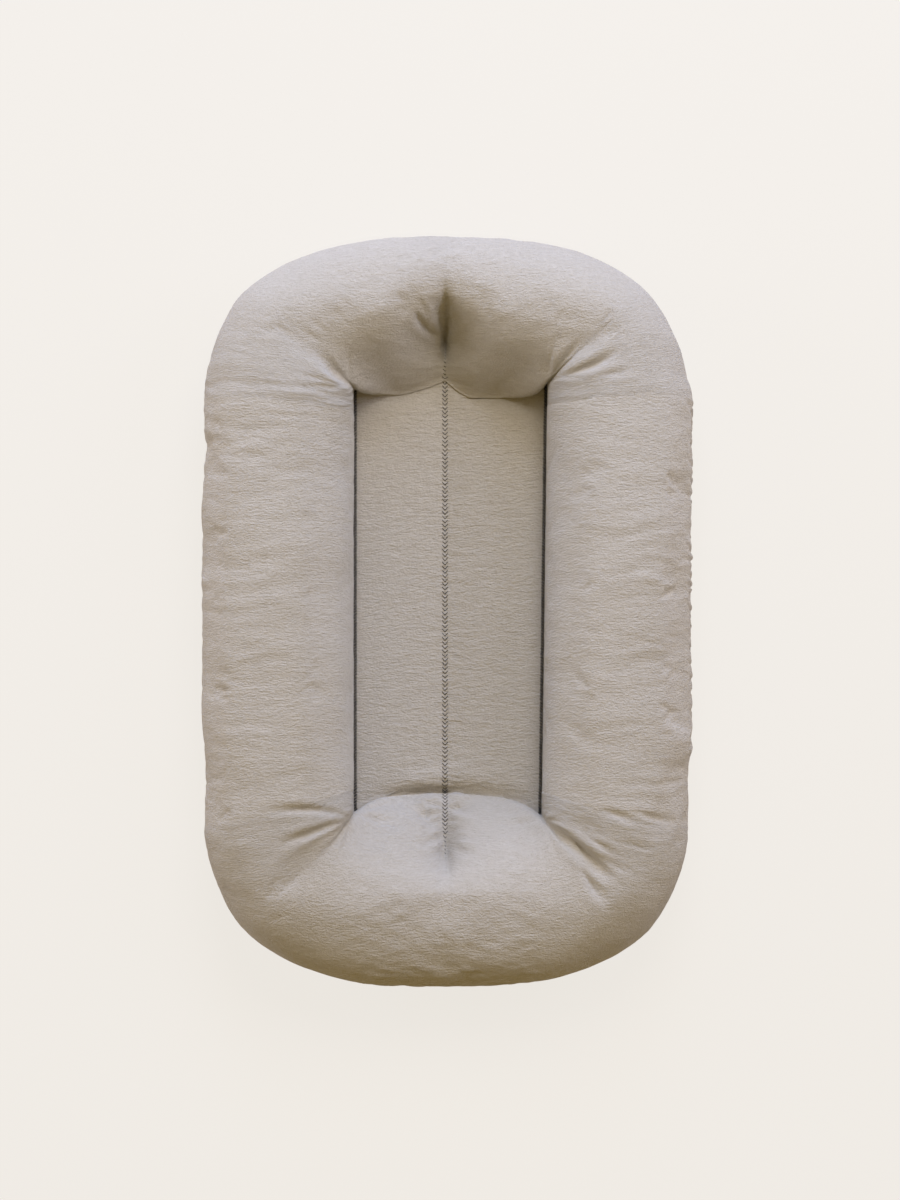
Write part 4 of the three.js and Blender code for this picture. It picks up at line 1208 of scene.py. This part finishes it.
def plain_weave(name, yarn, dark, light, threads):
    """Undyed cotton, and the zip's tape."""
    material, nodes, shader = new_material(name, 0.88)
    place = nodes.place()
    cloth = nodes.group(yarn, Vector=nodes.mapping(place, Rotation=WEAVE_TURN), Warp=threads, Weft=threads)
    worn = nodes.noise(place, 35.0, 4.0, 0.6)
    tone = nodes.mix(nodes.range(cloth["Tone"], 0.35, 0.7, 0, 1), dark, light)
    nodes.fill(
        shader,
        Base_Color=nodes.mix(nodes.range(worn, 0.4, 0.7, 0, 0.4), tone, dark),
        Roughness=nodes.range(worn, 0.3, 0.7, 0.95, 0.82),
        Normal=nodes.bump(cloth["Height"], WEAVE_RELIEF),
    )
    return material


def lofty_fibre():
    material, nodes, shader = new_material("lofty_fibre", 0.95)
    place = nodes.place()
    clump = nodes.noise(place, 60.0, 5.0, 0.7)
    hair = nodes.noise(nodes.mapping(place, Scale=HAIR_SCALE), 1.0, 3.0, 0.8)
    height = nodes.plus(clump, nodes.times(hair, 0.4))
    nodes.fill(
        shader, Base_Color=nodes.mix(clump, FIBRE_DARK, FIBRE_LIGHT), Normal=nodes.bump(height, FIBRE_RELIEF)
    )
    return material


# Charcoal thread, darkened further by painted shade of the crevice that the seams lie in
def thread_with_painted_shade():
    material, nodes, shader = new_material("thread_with_painted_shade", 0.8)
    place = nodes.place()
    lint = nodes.noise(place, 2600.0, 3.0, 0.7)
    thread_and_shade = nodes.mix(nodes.noise(place, 160.0, 2.0), THREAD_AND_SHADE_DARK, THREAD_AND_SHADE_LIGHT)
    tone = nodes.mix(nodes.range(lint, 0.45, 0.75, 0, 0.7), thread_and_shade, THREAD_LINT)
    nodes.fill(shader, Base_Color=tone, Normal=nodes.bump(lint, THREAD_RELIEF))
    return material


def dyed_nylon():
    material, nodes, shader = new_material("dyed_nylon", 0.5)
    cloud = nodes.noise(nodes.place(), 220.0, 3.0, 0.6)
    tone = nodes.mix(cloud, NYLON_DARK, NYLON_LIGHT)
    nodes.fill(shader, Base_Color=tone, Roughness=nodes.range(cloud, 0.3, 0.7, 0.42, 0.6))
    return material


def painted_metal():
    material, nodes, shader = new_material("painted_metal", 0.42, Coat_Weight=0.3, Coat_Roughness=0.2)
    place = nodes.place()
    grain = nodes.noise(place, 900.0, 3.0, 0.6)
    rub = nodes.noise(place, 260.0, 4.0, 0.7)
    nodes.fill(
        shader,
        Base_Color=nodes.mix(nodes.range(rub, 0.45, 0.75, 0, 0.5), PAINT_DARK, PAINT_LIGHT),
        Roughness=nodes.range(rub, 0.3, 0.7, 0.34, 0.5),
        Normal=nodes.bump(grain, PAINT_RELIEF),
    )
    return material


# Soft pieces inside the shell
def closed_mesh(name, loops, material, capped):
    """A closed surface over loops of points. Its ends meet, or are each closed over a middle point."""
    loops = np.asarray(loops)
    index = numbered(loops.shape)
    points = loops.reshape(-1, 3).tolist()
    faces = ring_faces(index, 1 - capped, 1).tolist()
    for end in (0, -1) if capped else ():
        middle = len(points)
        points.append(loops[end].mean(0).tolist())
        faces += [(middle, a, b) for a, b in zip(index[end].tolist(), np.roll(index[end], -1).tolist())]
    mesh = bpy.data.meshes.new(name)
    mesh.from_pydata(points, [], faces)
    mesh.shade_smooth()
    outward(mesh)
    mesh.materials.append(material)
    return link(name, mesh)


def stand_for(piece, body, slot, *nodes):
    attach(piece, body)
    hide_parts(*nodes)


CASING_SHARE = 0.88
CASING_STRIDE = 4
CASING_TOP_ROWS_LEFT = 2
CASING_BASE_ROWS_LEFT = (5, 1)
CASING_ROOM = 0.008
CASING_ROOM_SHARE = 1 / 3
CASING_STEP = 0.009
CASING_PINCH = 0.72
CASING_PINCH_WIDTH = 0.045
CORNER_PINCH = 0.10
CORNER_PINCH_SPAN = (HALF_FLANK - 0.045, HALF_FLANK - 0.02)


def keep_between(loops, cloth):
    """Moves points up or down until they lie between the cloth above and below them."""
    tree = BVHTree.FromPolygons([v.co for v in cloth.vertices], [p.vertices for p in cloth.polygons])
    steps = [(0, 0), (CASING_STEP, 0), (-CASING_STEP, 0), (0, CASING_STEP), (0, -CASING_STEP)]

    def heights(point, far):
        """Where lines from far above or far below the cloth first meet it, round one point."""
        for across, along in steps:
            start = Vector((point[0] + across, point[1] + along, far))
            hit = tree.ray_cast(start, Vector((0, 0, -far)))[0]
            if hit:
                yield hit.z

    for point in loops.reshape(-1, 3):
        top = min(heights(point, 1), default=CREST)
        bottom = max(heights(point, -1), default=0)
        room = min(CASING_ROOM, abs(top - bottom) * CASING_ROOM_SHARE)
        point[2] = (top + bottom) / 2 if bottom > top else min(max(point[2], bottom + room), top - room)


def make_casing(shell, layout, cloth, material):
    """The bolster in its undyed casing, which fills the rim below the cloth's creases."""
    ring = layout.ring
    core = lift_slice(ring, column(ring, "centre"), column(ring, "middle"))
    left, (base_left, base_end_left) = CASING_TOP_ROWS_LEFT, CASING_BASE_ROWS_LEFT
    stride = CASING_STRIDE // 2
    top = shell[:, layout.well_row + left:layout.seam_row - left:CASING_STRIDE]
    base = shell[:, layout.base_start + base_left:layout.base_well_row - base_end_left:stride]
    at_end = np.abs(ring["edge"][:, 1]) > HALF_FLANK
    pinch = CASING_PINCH * at_end * bell(ring["edge"][:, 0] - CENTRE_SHIFT, CASING_PINCH_WIDTH)
    share = CASING_SHARE - pinch - CORNER_PINCH * ease(np.abs(ring["well"][:, 1]), *CORNER_PINCH_SPAN)
    loops = lerp(core, np.concatenate([top, base], 1), share[:, None, None])[::stride]
    keep_between(loops, cloth)
    piece = closed_mesh("bolster_casing", loops, material, capped=0)
    nodes = ("bolster_lining_upper", "bolster_lining_lower", "bolster_filling")
    stand_for(piece, "lounger", "undyed_cloth", *nodes)


WADDING_MARGIN = 0.006
WADDING_END_MARGIN = 0.017
WADDING_ROWS = 40
WADDING_COLUMNS = 14
WADDING_ROOM = 0.0014
WADDING_CROWN = 0.9
WADDING_END_POWER = 8
LEAST_WADDING = 0.0003


def make_wadding(side, name, node, material):
    """The thin pad between the two panels of the floor, on one side of the centre row."""
    seam = side * (LEFT_SEAM_REACH if side == LEFT else RIGHT_SEAM_FOOT)
    start = CENTRE_SHIFT + side * WADDING_MARGIN
    across = np.linspace(start, seam - side * WADDING_MARGIN, WADDING_COLUMNS)
    crown = pad_profile((across - CENTRE_SHIFT) / (seam - CENTRE_SHIFT)) * WADDING_CROWN
    end_low, end_high = WADDING_END_MARGIN - ENDS[FOOT].floor, ENDS[HEAD].floor - WADDING_END_MARGIN
    loops = []
    for share in np.linspace(0, 1, WADDING_ROWS):
        thick = crown * math.sqrt(1 - abs(2 * share - 1) ** WADDING_END_POWER)
        top = WELL_HEIGHT - WADDING_ROOM + FLOOR_PUFF * thick
        under = WELL_HEIGHT - PANEL_PAIR + WADDING_ROOM / 2 - UNDER_PUFF * thick
        along = np.full_like(across, lerp(end_low, end_high, share))
        upper = np.stack([across, along, top], 1)
        lower = np.stack([across, along, np.minimum(under, top - LEAST_WADDING)], 1)
        loops.append(np.concatenate([upper, lower[::-1]]))
    piece = closed_mesh(name, loops, material, capped=1)
    stand_for(piece, "lounger", "fibre", node)


TAPE_THICKNESS = 0.0006
TAPE_HEIGHT = 0.014
TAPE_CLEARANCE = 0.0012


def make_seam_tape(material):
    """The tape that covers the raw edges inside the perimeter seam."""
    ring = ring_of_slices(DRAFT)
    edge, depth, _ = seam_lip(ring, UP)
    reach = edge - depth - TAPE_CLEARANCE - TAPE_THICKNESS * np.array([[0, 0, 0, 1, 1, 1]])
    height = SEAM_HEIGHT + TAPE_HEIGHT / 2 * np.array([[-1, 0, 1, 1, 0, -1]])
    loops = lift_slice(ring, reach, height)
    piece = closed_mesh("seam_tape", loops, material, capped=0)
    stand_for(piece, "lounger", "undyed_cloth", "perimeter_seam_tape")


# Rows of like things: stitches along a seam, and teeth along a zip
# The places of a random number's least and most among its inputs, and of the number among its outputs
RANDOM_LEAST, RANDOM_MOST, RANDOM_OUTPUT = 2, 3, 1


def row_network():
    """Places a piece at even steps along a path, turned to the path and to the surface below it."""
    tree, nodes, given, result = new_tree(
        "row_of_pieces", "GeometryNodeTree",
        {
            "Path": "Geometry", "Facing": "Vector", "Piece": "Object", "Pitch": "Float",
            "Unevenness": "Float", "Seed": "Int", "Material": "Material",
        },
        {"Row": "Geometry"},
    )
    curve = nodes.add("GeometryNodeMeshToCurve", Mesh=given["Path"])
    even = nodes.add(
        "GeometryNodeResampleCurve", {"mode": "LENGTH"}, Curve=curve.outputs[0], Length=given["Pitch"]
    )
    tangent = nodes.add("GeometryNodeInputTangent")
    along = nodes.add("FunctionNodeAlignRotationToVector", {"axis": "Y"}, Vector=tangent.outputs[0])
    up = nodes.add(
        "FunctionNodeAlignRotationToVector", {"axis": "Z", "pivot_axis": "Y"},
        Rotation=along.outputs[0], Vector=given["Facing"],
    )
    piece = nodes.add("GeometryNodeObjectInfo", Object=given["Piece"])
    size = nodes.add("FunctionNodeRandomValue", {"data_type": "FLOAT"}, Seed=given["Seed"])
    nodes.join(nodes.math("SUBTRACT", 1.0, given["Unevenness"]), size.inputs[RANDOM_LEAST])
    nodes.join(nodes.plus(1.0, given["Unevenness"]), size.inputs[RANDOM_MOST])
    placed = nodes.add(
        "GeometryNodeInstanceOnPoints", Points=even.outputs[0], Instance=piece.outputs["Geometry"],
        Rotation=up.outputs[0], Scale=size.outputs[RANDOM_OUTPUT],
    )
    real = nodes.add("GeometryNodeRealizeInstances", Geometry=placed.outputs[0])
    painted = nodes.add("GeometryNodeSetMaterial", Geometry=real.outputs[0], Material=given["Material"])
    nodes.join(painted.outputs[0], result["Row"])
    return tree


def lay_row(name, network, path, **values):
    mesh = bpy.data.meshes.new(name)
    mesh.from_pydata(path.tolist(), [(i, i + 1) for i in range(len(path) - 1)], [])
    row = link(name, mesh)
    modifier = row.modifiers.new("row", "NODES")
    modifier.node_group = network
    for item in network.interface.items_tree:
        if item.name in values:
            modifier[item.identifier] = values[item.name]
    bpy.context.view_layer.update()
    evaluated = row.evaluated_get(bpy.context.evaluated_depsgraph_get())
    row_mesh = bpy.data.meshes.new_from_object(evaluated)
    row.modifiers.clear()
    row.data = row_mesh
    row_mesh.shade_smooth()
    return row


Stitch = namedtuple("Stitch", "pitch half_width rise radius")
CENTRE_STITCH = Stitch(0.0042, 0.0028, 0.0030, 0.00029)
SIDE_STITCH = Stitch(0.0030, 0.0025, 0.0025, 0.00080)
THREAD_FLATNESS = 0.8
THREAD_SIDES = 6
STITCH_DISH = 0.22

# Where a strand starts beside the chevron's point, and its two bends as shares of its width, rise and thickness
STRAND_START = (0.00012, -0.0002)
Bend = namedtuple("Bend", "across along lift")
STRAND_BENDS = (Bend(0.16, 0.12, 0.5), Bend(0.84, 0.84, 0.7))


def strand(points, radius):
    """One stretch of thread that dives into the cloth at both ends."""
    points = np.asarray(points)
    turn = np.linspace(0, 2 * math.pi, THREAD_SIDES, endpoint=False)
    loops = []
    for i, point in enumerate(points):
        ahead = points[min(i + 1, len(points) - 1)] - points[max(i - 1, 0)]
        ahead /= np.linalg.norm(ahead)
        beside = np.cross(ahead, (0, 0, 1))
        beside /= np.linalg.norm(beside)
        above = np.cross(beside, ahead)
        circle = np.cos(turn)[:, None] * beside + np.sin(turn)[:, None] * above * THREAD_FLATNESS
        loops.append(point + circle * radius)
    return np.array(loops)


def make_stitch(stitch):
    """One chevron: two strands that run up and out from its point, towards the head end."""
    points, faces = [], []
    near, far = STRAND_BENDS
    dish = STITCH_DISH * stitch.half_width
    for side in (RIGHT, LEFT):
        reach, rise, lift = side * stitch.half_width, stitch.rise, stitch.radius
        loops = strand([
            (side * STRAND_START[0], STRAND_START[1], -lift),
            (reach * near.across, rise * near.along, lift * near.lift),
            (reach * far.across, rise * far.along, lift * far.lift + dish),
            (reach, rise, dish - lift),
        ], stitch.radius)
        index = numbered(loops.shape, len(points))
        points += loops.reshape(-1, 3).tolist()
        faces += [*ring_faces(index, 0, 1).tolist(), index[0, ::-1].tolist(), index[-1].tolist()]
    mesh = bpy.data.meshes.new("chevron")
    mesh.from_pydata(points, [], faces)
    outward(mesh)
    return link("chevron", mesh)


# Stage, light and camera
PALE = (0.888, 0.855, 0.807)
FLOOR_HALF = 6.0
FLOOR_COLOR = (0.62, 0.53, 0.41)
FLOOR_GLOW = 0.9
ROOM_COLOR = (1.0, 0.72, 0.20)
ROOM_STRENGTH = 0.315


def bare_nodes(holder):
    """The emptied node tree of a material or a world."""
    holder.use_nodes = True
    holder.node_tree.nodes.clear()
    return Nodes(holder.node_tree)


def seen_itself(nodes):
    """1 where the camera, a reflection or glass shows the stage, and 0 where the stage only gives light."""
    path = nodes.add("ShaderNodeLightPath").outputs
    seen = nodes.math("MAXIMUM", path["Is Camera Ray"], path["Is Glossy Ray"])
    return nodes.math("MAXIMUM", seen, path["Is Transmission Ray"])


def output_blend(nodes, share, first, second, kind):
    """Mixes two shaders into the output of a material or a world."""
    blend = nodes.add("ShaderNodeMixShader", Fac=share)
    nodes.join(first.outputs[0], blend.inputs[1])
    nodes.join(second.outputs[0], blend.inputs[2])
    nodes.add(kind, Surface=blend.outputs[0])


def make_floor():
    corners = [(-1, -1), (1, -1), (1, 1), (-1, 1)]
    mesh = bpy.data.meshes.new("floor")
    mesh.from_pydata([(x * FLOOR_HALF, y * FLOOR_HALF, 0) for x, y in corners], [], [range(4)])
    floor = link("floor", mesh)
    material = bpy.data.materials.new("pale_floor")
    nodes = bare_nodes(material)
    seen = seen_itself(nodes)
    diffuse = nodes.add("ShaderNodeBsdfDiffuse", Color=nodes.mix(seen, FLOOR_COLOR, PALE))
    glow = nodes.add("ShaderNodeEmission", Color=PALE)
    output_blend(nodes, nodes.times(seen, FLOOR_GLOW), diffuse, glow, "ShaderNodeOutputMaterial")
    mesh.materials.append(material)


def make_world():
    world = bpy.data.worlds.new("studio")
    bpy.context.scene.world = world
    nodes = bare_nodes(world)
    room = nodes.add("ShaderNodeBackground", Color=ROOM_COLOR, Strength=ROOM_STRENGTH)
    backdrop = nodes.add("ShaderNodeBackground", Color=PALE)
    output_blend(nodes, seen_itself(nodes), room, backdrop, "ShaderNodeOutputWorld")


Lamp = namedtuple("Lamp", "place size power color")
LAMPS = {
    "key": Lamp((0.30, 1.9, 2.3), 1.8, 49, (1.03, 1.0, 0.99)),
    "window": Lamp((0.0, 2.6, 1.2), 1.6, 26, (0.60, 1.0, 2.00)),
    "right_window": Lamp((2.1, 1.0, 1.6), 1.6, 20, (0.92, 1.0, 1.42)),
    "left_window": Lamp((-2.5, 0.7, 0.8), 1.4, 25, (0.97, 1.0, 1.24)),
}


def make_lamps():
    for name, lamp in LAMPS.items():
        light = bpy.data.lights.new(name, "AREA")
        light.shape = "DISK"
        light.size = lamp.size
        light.energy = lamp.power
        light.color = lamp.color
        holder = link(name, light)
        holder.location = lamp.place
        holder.rotation_euler = (-Vector(lamp.place)).to_track_quat("-Z", "Y").to_euler()


# The photograph's frame, and where the lounger's middle and width lie in it
FRAME_WIDTH = 900
FRAME_HEIGHT = 1200
MIDDLE_ACROSS = 446.5
MIDDLE_DOWN = 612
SEEN_WIDTH = 493
CAMERA_HEIGHT = 5.0
SENSOR = 36.0


def make_camera():
    camera = bpy.data.cameras.new("camera")
    widest = CAMERA_HEIGHT - CREST / 2
    pixels_per_metre = SEEN_WIDTH / (2 * HALF_WIDTH)
    camera.sensor_fit = "VERTICAL"
    camera.sensor_height = SENSOR
    camera.lens = pixels_per_metre * widest / FRAME_HEIGHT * SENSOR
    holder = link("camera", camera)
    across = (FRAME_WIDTH / 2 - MIDDLE_ACROSS) / pixels_per_metre
    along = (MIDDLE_DOWN - FRAME_HEIGHT / 2) / pixels_per_metre
    holder.location = (across, along, CAMERA_HEIGHT)
    bpy.context.scene.camera = holder


def make_shell(steps, yarn):
    shell, flat, layout = settle(steps)
    mesh = grid_mesh("cotton_shell", shell, flat, mirror_slice(steps))
    outward(mesh)
    mesh.materials.append(crinkled_cotton(yarn))
    piece = link("cotton_shell", mesh)
    stand_for(piece, "lounger", "shell_cloth", "top_panel", "base_panel")
    return shell, layout, mesh


STITCH_LIFT = 0.0004
STITCH_UNEVENNESS = 0.06
ROW_TILT = 0.3
SIDE_ROW_SHIFT = 0.0006
SIDE_ROW_LIFT = 0.0004
STITCHED_SHARE = 0.5


def climb(shell, rows, end, steps):
    """The centre seam's way up the slope at one end, as far as its tuft."""
    slope = shell[middle_slice(end, steps), list(rows)]
    return slope[end * slope[:, 1] < VALLEYS[end].tuft]


def make_stitching(shell, layout, steps, network):
    """Six rows of chevrons: each seam shows on the top and on the underside."""
    fine, close = make_stitch(CENTRE_STITCH), make_stitch(SIDE_STITCH)
    material = thread_with_painted_shade()
    half = np.arange(-steps.cap, steps.flank + steps.cap) % len(shell)
    sides = {"right": half, "left": mirror_slice(steps)[half]}
    rims = {
        "well": (0, layout.well_row, range(layout.well_row, layout.well_row + steps.tuck + steps.inner)),
        "under": (-1, layout.base_well_row, range(layout.base_well_row, layout.base_start, -1)),
    }
    seed = 0
    for part, (spine_row, seam_row, slope_rows) in rims.items():
        on_top = part == "well"
        for side, across in (("left", LEFT), ("right", RIGHT), ("centre", 0)):
            if side == "centre":
                slopes = [climb(shell, slope_rows, end, steps) for end in (FOOT, HEAD)]
                path = np.concatenate([slopes[0][::-1], shell[half, spine_row], slopes[1]])
                piece, stitch = fine, CENTRE_STITCH
            else:
                places = sides[side]
                path = shell[places[layout.ring["stitched"][places] > STITCHED_SHARE], seam_row]
                path = path - np.array((across * SIDE_ROW_SHIFT, 0, -SIDE_ROW_LIFT)) * on_top
                piece, stitch = close, SIDE_STITCH
            facing = (-across * ROW_TILT * on_top, 0, UP if on_top else DOWN)
            seed += 1
            row = lay_row(
                f"{side}_{part}_chevrons", network, path + np.array(facing) * STITCH_LIFT,
                Facing=facing, Piece=piece, Pitch=stitch.pitch,
                Unevenness=STITCH_UNEVENNESS, Seed=seed, Material=material,
            )
            stand_for(row, "lounger", "seam_thread", f"{side}_{part}_stitching")
    for piece in (fine, close):
        bpy.data.objects.remove(piece)


TOOTH_PITCH = 0.0015
TOOTH_WIDTH_SHARE = 0.72
TOOTH_ROUNDING_SHARE = 0.28

# How far from the foot end each row of teeth starts, as a share of the pitch
TOOTH_STARTS = {"upper": 0.5, "lower": 0.9}
TOOTH_LAST = 0.5


def make_tooth(width, depth, height):
    """One turn of the zip's coil: a rounded block over the tape's edge."""
    mesh = bpy.data.meshes.new("tooth")
    editing = bmesh.new()
    bmesh.ops.create_cube(editing, size=1)
    bmesh.ops.scale(editing, vec=(depth, width, height), verts=editing.verts)
    rounding = width * TOOTH_ROUNDING_SHARE
    bmesh.ops.bevel(editing, geom=editing.edges[:], offset=rounding, segments=1, affect="EDGES")
    editing.to_mesh(mesh)
    editing.free()
    return link("tooth", mesh)


def make_teeth(network):
    material = dyed_nylon()
    for level, first in TOOTH_STARTS.items():
        low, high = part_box(f"zip_teeth_{level}")
        tooth = make_tooth(TOOTH_PITCH * TOOTH_WIDTH_SHARE, high.x - low.x, high.z - low.z)
        middle = (low + high) / 2
        ends = (low.y + TOOTH_PITCH * first, high.y - TOOTH_PITCH * TOOTH_LAST)
        row = lay_row(
            f"zip_coil_{level}", network, np.array([(middle.x, end, middle.z) for end in ends]),
            Facing=(0, 0, 1), Piece=tooth, Pitch=TOOTH_PITCH, Unevenness=0.0, Seed=1, Material=material,
        )
        stand_for(row, "lounger", "zip_nylon", f"zip_teeth_{level}")
        bpy.data.objects.remove(tooth)


def make_zip(yarn, network):
    make_teeth(network)
    tape = plain_weave("zip_tape_weave", yarn, TAPE_DARK, TAPE_LIGHT, TAPE_THREADS)
    metal = painted_metal()
    stops = ["zip_top_stop_upper", "zip_top_stop_lower", "zip_bottom_stop"]
    finishes = {node: (metal, "zip_metal") for node in stops + ["zip_slider", "zip_pull_tab"]}
    finishes |= {node: (tape, "zip_tape") for node in ("zip_tape_upper", "zip_tape_lower")}
    for node, (material, slot) in finishes.items():
        piece = frame["nodes"][node]
        piece.data.materials.clear()
        piece.data.materials.append(material)


make_camera()
make_floor()
make_world()
make_lamps()

steps = FINE
yarn = slubby_yarn()
network = row_network()
undyed = plain_weave("undyed_cotton", yarn, UNDYED_DARK, UNDYED_LIGHT, UNDYED_THREADS)
shell, layout, cloth = make_shell(steps, yarn)
make_casing(shell, layout, cloth, undyed)
fibre = lofty_fibre()
make_wadding(LEFT, "left_wadding_pad", "left_floor_wadding", fibre)
make_wadding(RIGHT, "right_wadding_pad", "right_floor_wadding", fibre)
make_seam_tape(undyed)
make_stitching(shell, layout, steps, network)
make_zip(yarn, network)

bpy.context.scene.view_settings.view_transform = "Standard"
